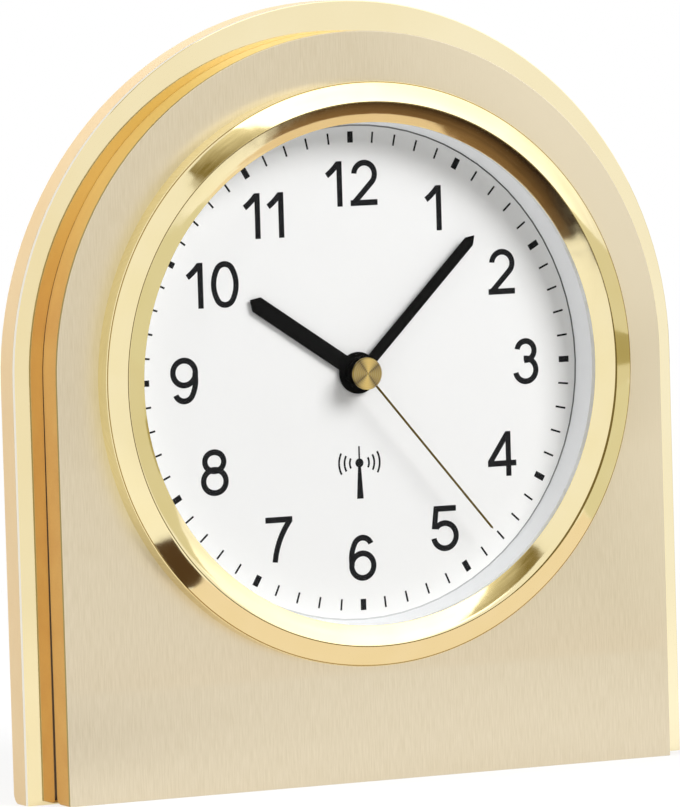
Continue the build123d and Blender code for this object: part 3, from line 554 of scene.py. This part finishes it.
polished_gold, tree, shader, place = finish(
    "gold_plated_brass_polished", {"Metallic": 1.0, "Roughness": 0.06}
)
long_waves = {"Vector": place["Object"], "Scale": per_mm(wave_size), "Detail": 1.5}
waves = add(tree, "ShaderNodeTexNoise", long_waves)
gold = add(tree, "ShaderNodeMix", {FACTOR: waves, FIRST: "#f2e2ae", SECOND: "#f6e8bd"}, data_type="RGBA")
is_front = front_share(tree, place["Normal"], 0.2)
colour = add(tree, "ShaderNodeMix", {FACTOR: is_front, FIRST: "#faf0bc", SECOND: gold}, data_type="RGBA")
centred = add(
    tree,
    "ShaderNodeMapping",
    {"Vector": place["Object"], "Location": to_axis, "Scale": (1.0, 0.0, 1.0)},
)
ring = add(tree, "ShaderNodeVectorMath", {0: centred}, operation="LENGTH")
wedge_side = (math.sin(wedge_angle), 0.0, math.cos(wedge_angle))
nearer = add(tree, "ShaderNodeVectorMath", {0: centred, 1: wedge_side}, operation="DOT_PRODUCT")
wedge_limits = {"From Min": wedge_reach * ridge_ring * MM, "From Max": ridge_ring * MM}
wedge_halves = {"To Min": ridge_shade_width / 2 * MM, "To Max": ridge_shade_wedge / 2 * MM}
half_ridge = add(tree, "ShaderNodeMapRange", {"Value": nearer, **wedge_limits, **wedge_halves})
# Painted shade: dark hairlines on the ridge and on the rim over the flank.
for radius, half, tone in (
    (ridge_ring, half_ridge, "#7a6530"),
    (rim_ring, rim_shade_width / 2 * MM, "#a5884a"),
):
    in_painted_shade = add(tree, "ShaderNodeMath", {0: ring, 1: radius * MM, 2: half}, operation="COMPARE")
    colour = add(tree, "ShaderNodeMix", {FACTOR: in_painted_shade, FIRST: colour, SECOND: tone}, data_type="RGBA")
relief = add(tree, "ShaderNodeBump", {"Height": waves, "Strength": 1.0, "Distance": wave_height * MM})
rub = add(tree, "ShaderNodeTexNoise", {"Vector": place["Object"], "Scale": per_mm(rub_size), "Detail": 3.0})
gloss = add(tree, "ShaderNodeMapRange", {"Value": rub, "To Min": 0.04, "To Max": 0.09})
feed(shader, {"Base Color": colour, "Normal": relief, "Roughness": gloss})

# %% [markdown]
# ## Glass
# The pane is flat mineral glass with an anti-reflection coat, so the dial is seen through it almost as
# if nothing were there, and only a grazing view shows the room in it. A transparent shader lets the
# lamps through to the dial without the cost of refraction, and a glossy one, weighted by Fresnel with
# the low index of the coat, adds what is left of the mirror.

# %% Coated glass
coat_index = 1.08

clear_glass = bpy.data.materials.new("mineral_glass_coated")
clear_glass.use_nodes = True
tree = clear_glass.node_tree
tree.nodes.clear()
through = add(tree, "ShaderNodeBsdfTransparent", {"Color": "#fefefe"})
mirror = add(tree, "ShaderNodeBsdfGlossy", {"Color": "#ffffff", "Roughness": 0.01})
grazing = add(tree, "ShaderNodeFresnel", {"IOR": coat_index})
pane = add(tree, "ShaderNodeMixShader", {0: grazing, 1: through, 2: mirror})
add(tree, "ShaderNodeOutputMaterial", {"Surface": pane})
print("finish", clear_glass.name)

# %% [markdown]
# ## Dial, ring and hands
# These are grained as well. The dial is lacquered white and matt, with the faint tooth of a sprayed
# coat. The ring round it is moulded white plastic. Light passes into it at the front and comes out at
# its wall. A painted glow, a soft emission, stands for that light and evens out the ring's lit and
# shaded sides. The hands are stamped aluminium under satin black lacquer, and the second hand is a
# gilt wire.

# %% Dial, ring, ink, lacquer and gilt
FINE, FINER = (3.0, 0.5), (2.0, 0.5)

white_dial = grained(
    "white_lacquer_matt_dial",
    ("#f4f4f3", "#f8f8f7"),
    0.4,
    values={"Roughness": 0.62, "Specular IOR Level": 0.25},
    relief=(0.2, 0.01),
    noise=FINER,
)
# Painted glow: the ring's emission stands for light that passes through the plastic.
white_plastic = grained(
    "abs_moulded_white_satin_painted_glow",
    ("#babcbe", "#c1c3c4"),
    5.0,
    gloss=(0.4, 0.5),
    values={"Specular IOR Level": 0.4, "Emission Color": "#ffffff", "Emission Strength": 0.3},
    noise=FINE,
)
dial_ink = grained(
    "pad_printed_black_ink",
    ("#161617", "#202022"),
    0.5,
    values={"Roughness": 0.7, "Specular IOR Level": 0.1},
    noise=FINE,
)
black_lacquer = grained(
    "aluminium_satin_black_lacquer",
    ("#080808", "#0f0f0e"),
    0.6,
    gloss=(0.34, 0.48),
    values={"Roughness": 0.4, "Specular IOR Level": 0.05},
    noise=FINE,
)
gilt = grained(
    "gilt_brass_wire",
    ("#4d3d14", "#705d28"),
    1.5,
    values={"Metallic": 1.0, "Roughness": 0.35},
    noise=FINE,
)

# %% [markdown]
# ## Turned cap
# The cap on the second hand is brass turned on a lathe, which leaves fine rings. Rings tip the surface
# along the radius only, so light fans out in rays from the centre: bright ones above and below, fainter
# ones to the sides, and thin dark ones between. Besides the anisotropic shine, these rays are painted
# into the base colour, as painted highlights and painted dark rays. They come from the angle round the
# dial's axis, through the cosine of twice that angle.

# %% Turned brass
groove_pitch = 0.22  # cutter marks, drawn about five times too coarse so that they show
groove_share = 0.2  # how much the grooves dull the rays
ray_turn = math.radians(10)  # how far the bright rays lean from upright
ray_width = 0.6  # exponent: below 1 the rays are broad and the dark ones thin
upright_share = 0.25  # how much brighter the upright rays are than the mean

turned_brass, tree, shader, place = finish(
    "brass_turned_fine_grooves_painted_rays",
    {"Metallic": 1.0, "Roughness": 0.28, "Anisotropic": 0.7, "Anisotropic Rotation": 0.25},
)
centred = add(tree, "ShaderNodeMapping", {"Vector": place["Object"], "Location": to_axis})
grooves = add(
    tree,
    "ShaderNodeTexWave",
    {"Vector": centred, "Scale": per_mm(groove_pitch) / (2 * math.pi), "Distortion": 0.0},
    wave_type="RINGS",
    rings_direction="Y",
).outputs["Fac"]
# Painted highlights: bright and dark rays are set into the base colour by the angle round the axis.
offset = add(tree, "ShaderNodeSeparateXYZ", {0: centred}).outputs
angle = add(tree, "ShaderNodeMath", {0: offset["X"], 1: offset["Z"]}, operation="ARCTAN2")
doubled = add(tree, "ShaderNodeMath", {0: angle, 1: 2.0, 2: -2 * ray_turn}, operation="MULTIPLY_ADD")
lobes = add(tree, "ShaderNodeMath", {0: doubled}, operation="COSINE")
rays = add(tree, "ShaderNodeMath", {0: lobes}, operation="ABSOLUTE")
rays = add(tree, "ShaderNodeMath", {0: rays, 1: ray_width}, operation="POWER")
upright = add(tree, "ShaderNodeMath", {0: lobes, 1: upright_share}, operation="MULTIPLY")
light = add(tree, "ShaderNodeMath", {0: rays, 1: 1 - upright_share, 2: upright}, operation="MULTIPLY_ADD")
painted_rays = add(tree, "ShaderNodeMix", {FACTOR: light, FIRST: "#5c4716", SECOND: "#efcf72"}, data_type="RGBA")
grooved = add(
    tree,
    "ShaderNodeMix",
    {FACTOR: grooves, FIRST: "#d9d9d9", SECOND: painted_rays},
    data_type="RGBA",
    blend_type="MULTIPLY",
)
dulled = add(tree, "ShaderNodeMix", {FACTOR: groove_share, FIRST: painted_rays, SECOND: grooved}, data_type="RGBA")
round_axis = add(tree, "ShaderNodeTangent", direction_type="RADIAL", axis="Y")
feed(shader, {"Base Color": dulled, "Tangent": round_axis})

# %% [markdown]
# ## Finishes at the back and inside
# Behind the blocks sit the movement, its screws, the battery and the foot. Each gets the finish its
# real part has, so the clock holds up from behind and when it is taken apart. They are grained like the
# dial. A row is the material's name, its two tones, its grain in millimetres and its gloss; metal and
# moulded texture follow where they apply.

# %% Every slot and its finish
METAL = {"Metallic": 1.0}
TEXTURE = (0.6, 0.03)  # strength and height of a moulded texture

finishes = {
    "brushed_champagne": brushed_champagne,
    "satin_gold_lacquer": satin_gold,
    "mirror_gold": mirror_gold,
    "pale_gold_lacquer": pale_gold,
    "polished_brass": polished_gold,
    "clear_glass": clear_glass,
    "white_plastic": white_plastic,
    "white_dial": white_dial,
    "black_lacquer": black_lacquer,
    "gilt": gilt,
    "turned_brass": turned_brass,
    "gear_plastic": grained("acetal_moulded_natural", ("#dcd8c8", "#ece9dc"), 1.2, (0.35, 0.5)),
    "rotor_magnet": grained(
        "bonded_ferrite_magnet_grey", ("#3b3d40", "#55575a"), 0.3, (0.45, 0.65), {"Metallic": 0.3}
    ),
    "core_iron": grained("silicon_steel_stamped", ("#8d8f92", "#b4b6b9"), 0.8, (0.3, 0.5), METAL),
    "black_plastic": grained(
        "abs_moulded_black_sparked", ("#161617", "#262628"), 0.45, (0.45, 0.65), relief=TEXTURE
    ),
    "zinc_steel": grained("steel_zinc_plated_bright", ("#b9bcc0", "#dcdfe2"), 0.9, (0.2, 0.36), METAL),
    "green_board": grained("glass_epoxy_board_green_resist", ("#0f4a2a", "#1c6a3d"), 1.5, (0.25, 0.4)),
    "black_resin": grained("epoxy_moulded_black", ("#121213", "#232325"), 0.3, (0.5, 0.7)),
    "nickel_can": grained("nickel_plated_sheet", ("#c9c7bf", "#e0ded6"), 1.0, (0.18, 0.32), METAL),
    "grey_button": grained(
        "abs_moulded_grey_matt", ("#8f9194", "#a3a5a8"), 0.5, (0.45, 0.6), relief=(0.6, 0.02)
    ),
    "ferrite": grained("sintered_ferrite_dark", ("#2b2a2c", "#454347"), 0.5, (0.5, 0.7), {"Metallic": 0.2}),
    "pad_rubber": grained(
        "rubber_moulded_black_matt", ("#151515", "#212121"), 0.4, (0.75, 0.9), relief=TEXTURE
    ),
    "gold_painted_steel": grained(
        "steel_powder_coated_gold", ("#c9a763", "#d9bd7f"), 0.6, (0.4, 0.55), {"Metallic": 0.5}, TEXTURE
    ),
}

# %% [markdown]
# ## Copper windings
# Enamelled wire lies turn beside turn, so a winding is a row of fine shiny ridges. A wave along the
# coil's own length, which is X here, draws them at 0.25 mm, coarser than the real hair-thin wire.

# %% Copper wire
wire_pitch, wire_relief = 0.25, 0.05

copper_wire, tree, shader, place = finish("enamelled_copper_winding", {"Metallic": 1.0, "Roughness": 0.3})
turns = add(
    tree,
    "ShaderNodeTexWave",
    {"Vector": place["Object"], "Scale": per_mm(wire_pitch) / (2 * math.pi), "Distortion": 0.0},
    wave_type="BANDS",
    bands_direction="X",
).outputs["Fac"]
tone = add(tree, "ShaderNodeMix", {FACTOR: turns, FIRST: "#8a4a22", SECOND: "#d98a4e"}, data_type="RGBA")
relief = add(tree, "ShaderNodeBump", {"Height": turns, "Strength": 0.6, "Distance": wire_relief * MM})
feed(shader, {"Base Color": tone, "Normal": relief})
finishes["copper_wire"] = copper_wire

# %% [markdown]
# ## Battery sleeve
# A round cell wears a shrunk printed sleeve: dark along most of its length, with a copper-coloured band
# at the positive end, and bare steel on the end faces and the button. Where the band starts is a place
# along X, and the ends are told by their direction.

# %% Battery
band_share = 0.3  # of the cell's length
scuff_size = 1.8
end_facing = 0.7  # an end looks along X more than this

battery_low, battery_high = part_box("battery")
band_start = battery_high.x - band_share * (battery_high.x - battery_low.x)
battery_sleeve, tree, shader, place = finish("battery_printed_sleeve", {"Metallic": 0.6, "Roughness": 0.3})
along = add(tree, "ShaderNodeSeparateXYZ", {0: place["Object"]}).outputs["X"]
in_band = add(tree, "ShaderNodeMath", {0: along, 1: band_start}, operation="GREATER_THAN")
scuffs = {"Vector": place["Object"], "Scale": per_mm(scuff_size), "Detail": 4.0}
scuff = add(tree, "ShaderNodeTexNoise", scuffs)
dark = add(tree, "ShaderNodeMix", {FACTOR: scuff, FIRST: "#17181b", SECOND: "#26272c"}, data_type="RGBA")
sleeve = add(tree, "ShaderNodeMix", {FACTOR: in_band, FIRST: dark, SECOND: "#c07a3c"}, data_type="RGBA")
facing = add(tree, "ShaderNodeSeparateXYZ", {0: place["Normal"]}).outputs["X"]
end_on = add(tree, "ShaderNodeMath", {0: facing}, operation="ABSOLUTE")
is_end = add(tree, "ShaderNodeMath", {0: end_on, 1: end_facing}, operation="GREATER_THAN")
cell = add(tree, "ShaderNodeMix", {FACTOR: is_end, FIRST: sleeve, SECOND: "#c8c9cb"}, data_type="RGBA")
gloss = add(tree, "ShaderNodeMapRange", {"Value": scuff, "To Min": 0.22, "To Max": 0.4})
feed(shader, {"Base Color": cell, "Roughness": gloss})
finishes["battery_sleeve"] = battery_sleeve

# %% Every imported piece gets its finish
slot_of = {}
for name, node in nodes.items():
    slot_of[name] = node.data.materials[0].name
    node.data.materials[0] = finishes[slot_of[name]]
print("finishes", len(finishes), "on", len(slot_of), "pieces")

# %% [markdown]
# ## Eased edges
# No real edge is perfectly sharp: sheet is deburred, board is rubbed down, and moulded plastic has a
# small radius. That hair-wide rounding catches the light and draws the thin bright lines that the
# photograph shows round the sheets. A copy of each listed piece has its loose triangles merged and its
# flat faces joined, and then every sharp edge is bevelled. The copy stands for the imported piece.

# %% Ease the edges of the flat pieces
weld_distance = 0.0005  # corners closer than this are one
flat_angle, edge_angle = 0.5, 40.0  # degrees: flatter faces are joined, sharper edges are eased
eased_shading = 12.0  # degrees up to which an eased piece is shaded smooth


def piece(name, bm, material, body, sharp_angle=40.0):
    """Turns a bmesh into a finished object at the origin that rides on a body."""
    made = shaped(name, bm, material)
    made.data.shade_smooth()
    made.data.set_sharp_from_angle(angle=math.radians(sharp_angle))
    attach(made, body)
    return made


def eased(name, radius):
    """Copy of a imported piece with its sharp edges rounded, standing for it."""
    source = nodes[name]
    bm = bmesh.new()
    bm.from_mesh(source.data)
    bmesh.ops.remove_doubles(bm, verts=bm.verts, dist=weld_distance * MM)
    bmesh.ops.dissolve_limit(bm, angle_limit=math.radians(flat_angle), verts=bm.verts, edges=bm.edges)
    inner_edges = [edge for edge in bm.edges if len(edge.link_faces) == 2]
    bmesh.ops.bevel(
        bm,
        geom=[edge for edge in inner_edges if edge.calc_face_angle() > math.radians(edge_angle)],
        offset=radius * MM,
        offset_type="OFFSET",
        affect="EDGES",
        segments=3,
        profile=0.5,
        material=-1,
        clamp_overlap=True,
    )
    slot = slot_of[name]
    made = piece(name + "_eased", bm, finishes[slot], source["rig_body"], eased_shading)
    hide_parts(name)


for name, radius in (
    ("face_sheet", 0.12),
    ("front_block", 0.22),
    ("mirror_sheet", 0.15),
    ("back_block", 0.35),
    ("hour_hand", 0.06),
    ("minute_hand", 0.06),
    ("movement_case", 0.3),
    ("movement_cover", 0.3),
    ("set_button", 0.3),
    ("receive_button", 0.3),
    ("foot_angle", 0.3),
):
    eased(name, radius)

# %% [markdown]
# ## A pen for thin flat shapes
# The dial's figures and marks are strokes, and the bezel's section is a line of the same straights and
# arcs. Blender's `spin` can draw them all: it sweeps a tip round a centre for an arc, and with no angle
# and one step it pushes it straight on. A stroke is a start, a heading and a list of moves. A move of one
# number goes ahead that far; a move of two is an arc, its radius and its turn, clockwise when positive.
# Headings are clockwise from upright, as on a clock. Strokes that cross stand proud by slightly
# different amounts, so that their fronts never coincide.

# %% The pen
ink_thickness = 0.02
layer_step = 0.1  # of the ink's thickness, between strokes that cross
arc_step = 5.0  # degrees of arc per face


def corners_of(geometry):
    """The corners among some corners, edges and faces."""
    return [part for part in geometry if isinstance(part, bmesh.types.BMVert)]


def middle_of(corners):
    """Mean place of some corners."""
    return sum((corner.co for corner in corners), Vector()) / len(corners)


def draw(bm, tip, heading, moves, step=arc_step):
    """Sweeps the tip through the moves, in millimetres and degrees, and returns its last place."""
    for move in moves:
        here = middle_of(corners_of(tip))
        ahead = Vector((math.sin(heading), 0.0, math.cos(heading)))
        right = Vector((math.cos(heading), 0.0, -math.sin(heading)))
        if len(move) == 1:
            sweep = {"cent": here, "dvec": ahead * move[0] * MM, "angle": 0.0, "steps": 1}
        else:
            radius, turn = move[0] * MM, math.radians(move[1])
            steps = max(2, round(abs(move[1]) / step))
            sweep = {"cent": here + right * math.copysign(radius, turn), "angle": turn, "steps": steps}
            heading += turn
        tip = bmesh.ops.spin(bm, geom=tip, axis=(0, 1, 0), **sweep)["geom_last"]
    return tip


def stroke(bm, origin, start, heading, width, moves, taper=1.0, layer=0, towards=-1.0):
    """One closed stroke on the plane at the origin, raised to the front, or to the back if told so."""
    before = set(bm.faces)
    heading = math.radians(heading)
    middle = origin + Vector((start[0], 0.0, start[1])) * MM
    half = Vector((math.cos(heading), 0.0, -math.sin(heading))) * width / 2 * MM
    ends = [bm.verts.new(middle - half), bm.verts.new(middle + half)]
    last = corners_of(draw(bm, [*ends, bm.edges.new(ends)], heading, moves))
    to_end = Matrix.Translation(-middle_of(last))
    bmesh.ops.scale(bm, vec=(taper, taper, taper), space=to_end, verts=last)
    drawn = [face for face in bm.faces if face not in before]
    corners = list({vert for face in drawn for vert in face.verts})
    bmesh.ops.remove_doubles(bm, verts=corners, dist=weld_distance * MM)
    drawn = [face for face in bm.faces if face not in before]
    raised = bmesh.ops.extrude_face_region(bm, geom=drawn)["geom"]
    proud = towards * ink_thickness * (1 + layer_step * layer) * MM
    bmesh.ops.translate(bm, vec=(0.0, proud, 0.0), verts=corners_of(raised))
    shell = [face for face in bm.faces if face not in before]
    bmesh.ops.recalc_face_normals(bm, faces=shell)


# %% [markdown]
# ## The figures
# The dial has plain upright figures without serifs, 9.3 mm tall, in a 1.2 mm line. Each is a few
# strokes about its own middle. Nought and eight are ovals, made of four arcs that meet smoothly: from
# the half width, the half height and the radius of the ends, the radius of the sides follows. Six is
# a round bowl with a stem, and nine is six turned half round. Two figures side by side keep a fixed gap.

# %% Figures as strokes
line_width = 1.2
figure_gap = 1.8
figure_half_width = {"1": 1.77}
usual_half_width = 3.1
flat_rise = 4.65  # top and foot of a figure, from its middle
bar_rise = flat_rise - line_width / 2


def oval(middle, half_width, half_height, end_radius):
    """Stroke round an oval, from its left-hand side."""
    overlap = half_height - end_radius
    side_radius = (half_width**2 + overlap**2 - end_radius**2) / (2 * (half_width - end_radius))
    side_turn = math.degrees(math.atan(overlap / (side_radius - half_width)))
    side, end = (side_radius, 2 * side_turn), (end_radius, 180 - 2 * side_turn)
    half_side = (side_radius, side_turn)
    start = (middle[0] - half_width, middle[1])
    return (start, 0, [half_side, end, side, end, half_side])


def half_turn(strokes):
    """The same strokes turned upside down."""
    return [((-start[0], -start[1]), heading + 180, moves) for start, heading, moves in strokes]


six = [
    ((-2.42, -1.6), 0, [(2.52, 360)]),
    ((-2.28, -1.6), -11.6, [(6.975, 39.4), (2.05, 130)]),
]
figures = {
    "0": [oval((0, 0), 2.52, 4.15, 1.95)],
    "1": [
        ((1.19, -flat_rise), 0, [(2 * flat_rise,)]),
        ((0.95, 4.25), 219, [(13.0, 16)]),
    ],
    "2": [
        ((-2.14, 1.98), 5, [(2.35, 220), (5.95,)]),
        ((-3.05, -bar_rise), 90, [(6.15,)]),
    ],
    "3": [
        ((-1.82, 2.55), 10, [(1.98, 255), (0.55,)]),
        ((-0.35, 0.57), 90, [(0.4,), (2.37, 258)]),
    ],
    "4": [
        ((1.5, -flat_rise), 0, [(2 * flat_rise,)]),
        ((-3.3, -1.97), 90, [(6.6,)]),
        ((-2.86, -1.8), 34.9, [(7.3,)]),
    ],
    "5": [
        ((-1.9, bar_rise), 90, [(4.7,)]),
        ((-1.72, flat_rise - 0.05), 187.2, [(4.75,)]),
        ((-1.89, 0.09), 40, [(2.6, 310)]),
    ],
    "6": six,
    "7": [
        ((-3.05, bar_rise), 90, [(6.1,)]),
        ((2.42, 3.75), 218.8, [(16.6, -31.8)]),
    ],
    "8": [
        oval((0, 2.22), 2.12, 1.93, 2.4),
        oval((0, -1.8), 2.52, 2.36, 2.9),
    ],
    "9": half_turn(six),
}
print("figures", len(figures), "in", sum(len(strokes) for strokes in figures.values()), "strokes")

# %% [markdown]
# ## Printing the dial
# Figures, minute marks and the radio sign were printed in black. The ink stands two hundredths of a
# millimetre proud, so the print is real geometry and stays sharp at any distance. As on the photographed
# dial, it sits a little above the middle. Numbers sit on a ring of 38.4 mm, nudged where the printer
# balanced their look. The sign says that the clock sets itself by radio: a tapering mast with a ball
# and a spike, and waves to both sides.

# %% Numbers on the dial
number_ring = 38.4
print_rise = 0.3  # the print sits this much above the middle of the dial
nudges = {1: (-0.5, -0.6), 2: (0.7, -0.4), 3: (0.6, 0.0), 4: (-0.3, 0.3), 5: (-0.1, -0.2), 7: (0.5, -0.2)}
nudges |= {8: (0.4, 0.3), 9: (-0.5, 0.1), 10: (1.3, 0.0), 11: (-0.8, -0.5), 12: (0.1, 0.1)}

print_plane = Vector((0.0, dial_front, dial_centre.z + print_rise * MM))
bm = bmesh.new()
for hour in range(1, 13):
    angle = math.radians(30 * hour)
    nudge = nudges.get(hour, (0.0, 0.0))
    text = str(hour)
    halves = [figure_half_width.get(figure, usual_half_width) for figure in text]
    x = number_ring * math.sin(angle) + nudge[0] - sum(halves) - figure_gap * (len(text) - 1) / 2
    z = number_ring * math.cos(angle) + nudge[1]
    for figure, half in zip(text, halves):
        middle = print_plane + Vector((x + half, 0.0, z)) * MM
        for layer, (start, heading, moves) in enumerate(figures[figure]):
            stroke(bm, middle, start, heading, line_width, moves, layer=layer)
        x += 2 * half + figure_gap
piece("dial_numbers", bm, dial_ink, "cabinet")

# %% Minute marks
mark_ring, mark_length = 48.0, 2.3
minute_width, hour_width = 0.4, 1.25

bm = bmesh.new()
for minute in range(60):
    angle = math.radians(6 * minute)
    foot = mark_ring - mark_length / 2
    start = (foot * math.sin(angle), foot * math.cos(angle))
    width = hour_width if minute % 5 == 0 else minute_width
    stroke(bm, print_plane, start, 6 * minute, width, [(mark_length,)])
piece("minute_marks", bm, dial_ink, "cabinet")

# %% Radio sign
ball_rise, ball_radius = -18.85, 0.92
mast_foot, mast_foot_width, mast_top_width = -26.2, 1.5, 0.6
spike_top, spike_width = -15.4, 0.35
wave_radii, wave_width, wave_half_angle = (2.2, 3.4, 4.65), 0.42, 28.0


def side_waves(radii, half_angle, rise=0.0):
    """Start, heading and moves of arcs to both sides of a point at a rise."""
    for side in (90, 270):
        for radius in radii:
            first = math.radians(side - half_angle)
            start = (radius * math.sin(first), rise + radius * math.cos(first))
            yield start, side - half_angle + 90, [(radius, 2 * half_angle)]


bm = bmesh.new()
mast_taper = mast_top_width / mast_foot_width
stroke(bm, print_plane, (0.0, mast_foot), 0, mast_foot_width, [(ball_rise - mast_foot,)], mast_taper)
stroke(bm, print_plane, (0.0, ball_rise), 0, spike_width, [(spike_top - ball_rise,)], layer=1)
ball_start = (-ball_radius / 2, ball_rise)
stroke(bm, print_plane, ball_start, 0, ball_radius, [(ball_radius / 2, 360)], layer=2)
for start, heading, moves in side_waves(wave_radii, wave_half_angle, ball_rise):
    stroke(bm, print_plane, start, heading, wave_width, moves)
piece("radio_sign", bm, dial_ink, "cabinet")

# %% [markdown]
# ## The gap round the dial
# Between the dial and the white ring is a hair-wide gap. It lies in shade at the upper right and fades
# out at the lower left, so the line that stands for it goes from dark to pale grey across the dial.

# %% Line round the edge of the dial
edge_ring, edge_width = 50.72, 0.3
edge_layer = -5  # half as proud as the print
shade_angle = math.radians(60)  # where the gap is darkest, clockwise from upright
shade_start, shade_full = -0.4, 0.9  # of the ring's radius, towards the dark side

edge_grey, tree, shader, place = finish(
    "dial_edge_gap_in_shade", {"Roughness": 0.7, "Specular IOR Level": 0.2}
)
centred = add(tree, "ShaderNodeMapping", {"Vector": place["Object"], "Location": to_axis})
shade_side = (math.sin(shade_angle), 0.0, math.cos(shade_angle))
nearer = add(tree, "ShaderNodeVectorMath", {0: centred, 1: shade_side}, operation="DOT_PRODUCT")
limits = {"From Min": shade_start * edge_ring * MM, "From Max": shade_full * edge_ring * MM}
shade = add(tree, "ShaderNodeMapRange", {"Value": nearer, **limits})
grey = add(tree, "ShaderNodeMix", {FACTOR: shade, FIRST: "#cfd0d0", SECOND: "#565758"}, data_type="RGBA")
feed(shader, {"Base Color": grey})

edge_plane = Vector((0.0, dial_front, dial_centre.z))
bm = bmesh.new()
stroke(bm, edge_plane, (-edge_ring, 0.0), 0, edge_width, [(edge_ring, 360)], layer=edge_layer)
piece("dial_edge_line", bm, edge_grey, "cabinet")

# %% [markdown]
# ## The bezel, spun
# A bezel is turned, so it is spun here as well. The pen draws what shows of its section, lying in the
# XZ plane: up the flank, over its edge, along the outer slope, over the ridge, down the inner slope
# and over the inner edge. The slopes are slightly crowned, as polishing leaves them, which is why the
# reflections change across their width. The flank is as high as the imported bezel's depth leaves it.
# Straight lines close the section: under the lip, which is undercut down to the glass, and along the
# skirt. Then it is tipped forward and one full spin about the dial's axis makes the ring.

# %% Section of the bezel
slope_steep, slope_flat = 25.4, 11.4  # tilt of a slope at its outer end and at the ridge
outer_crown, inner_crown = 16.6, 17.2  # radius of the crowned slopes
flank_edge_radius, ridge_radius, inner_edge_radius = 0.4, 0.8, 0.12
seat_rise, seat_radius, skirt_inset = 3.3, 53.3, 2.9
section_step = 2.0  # degrees of arc per face

bezel_low, bezel_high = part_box("bezel")
bezel_radius = bezel_high.x / MM
bezel_rise = (face_y - bezel_low.y) / MM
dial_depth = (bezel_high.y - face_y) / MM
steep_cos, flat_cos = math.cos(math.radians(slope_steep)), math.cos(math.radians(slope_flat))
slope_rise = outer_crown * (flat_cos - steep_cos)
flank = bezel_rise - flank_edge_radius * steep_cos - slope_rise - ridge_radius * (1 - flat_cos)
crown_turn = slope_steep - slope_flat
moves = [
    (flank,),
    (flank_edge_radius, slope_steep - 90),
    (outer_crown, -crown_turn),
    (ridge_radius, -2 * slope_flat),
    (inner_crown, -crown_turn),
    (inner_edge_radius, slope_steep - 90),
]

bm = bmesh.new()
first = bm.verts.new((bezel_radius * MM, 0.0, 0.0))
inner_end = corners_of(draw(bm, [first], 0.0, moves, section_step))[0]
print("inner edge at radius", round(inner_end.co.x / MM, 2), "rise", round(inner_end.co.z / MM, 2))
skirt_radius = bezel_radius - skirt_inset
behind = [
    (seat_radius, seat_rise),
    (seat_radius, -dial_depth),
    (skirt_radius, -dial_depth),
    (skirt_radius, 0.0),
]
chain = [inner_end] + [bm.verts.new((radius * MM, 0.0, rise * MM)) for radius, rise in behind] + [first]
for start, end in zip(chain, chain[1:]):
    bm.edges.new((start, end))

# %% Spin of the bezel
bezel_segments = 360
bezel_shading = 30.0  # degrees up to which it is shaded smooth

tip_forward = Matrix.Translation(dial_centre) @ Matrix.Rotation(math.pi / 2, 4, "X")
bmesh.ops.transform(bm, matrix=tip_forward, verts=bm.verts)
bmesh.ops.spin(
    bm,
    geom=bm.verts[:] + bm.edges[:],
    cent=dial_centre,
    axis=(0, 1, 0),
    angle=2 * math.pi,
    steps=bezel_segments,
    use_merge=True,
)
bmesh.ops.recalc_face_normals(bm, faces=bm.faces)
bezel = piece("bezel_spun", bm, polished_gold, "cabinet", bezel_shading)
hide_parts("bezel")

# %% [markdown]
# ## Marks at the back
# The movement carries the few signs that a user needs: plus and minus at the ends of the battery bay,
# a turning arrow over the setting button and waves over the receiving button. They are printed in
# white with the same pen, raised towards the back. Seen from behind, left and right change places.

# %% White marks on the movement
mark_width = 0.7
bay_mark = 29.5  # from the middle to a battery sign
bay_mark_half = 1.6
symbol_rise = 6.0  # from the top of a button to the middle of its symbol
arrow_radius, arrow_turn = 2.2, -270
barb_x, barb_length, barb_headings = 0.3, 1.7, (-50, 230)
dot_radius = 0.35
rear_wave_radii, rear_wave_half_angle = (1.6, 2.9), 38

white_ink = grained("pad_printed_white_ink", ("#d2d2d0", "#e2e2e0"), 0.5, (0.6, 0.75))
case_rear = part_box("movement_case")[1].y
cover_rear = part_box("movement_cover")[1].y
battery_rise = (battery_low.z + battery_high.z) / 2


def over_button(low, high):
    """Middle of the symbol over a button, from the button's box."""
    return Vector(((low.x + high.x) / 2, cover_rear, high.z + symbol_rise * MM))


def rear_mark(bm, origin, start, heading, moves, layer=0):
    """A stroke that stands proud of the back; crossing strokes take different layers."""
    stroke(bm, origin, start, heading, mark_width, moves, layer=2 * layer, towards=1.0)


bm = bmesh.new()
minus_end = Vector((-bay_mark * MM, case_rear, battery_rise))
plus_end = Vector((bay_mark * MM, case_rear, battery_rise))
bar = [(2 * bay_mark_half,)]
rear_mark(bm, minus_end, (-bay_mark_half, 0.0), 90, bar)
rear_mark(bm, plus_end, (-bay_mark_half, 0.0), 90, bar)
rear_mark(bm, plus_end, (0.0, -bay_mark_half), 0, bar, layer=1)

turning = over_button(*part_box("set_button"))
rear_mark(bm, turning, (arrow_radius, 0.0), 0, [(arrow_radius, arrow_turn)])
for layer, heading in enumerate(barb_headings, start=1):
    rear_mark(bm, turning, (barb_x, -arrow_radius), heading, [(barb_length,)], layer)

receiving = over_button(*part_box("receive_button"))
rear_mark(bm, receiving, (-dot_radius, 0.0), 0, [(dot_radius, 360)])
for start, heading, moves in side_waves(rear_wave_radii, rear_wave_half_angle):
    rear_mark(bm, receiving, start, heading, moves)
piece("movement_marks", bm, white_ink, "cabinet")
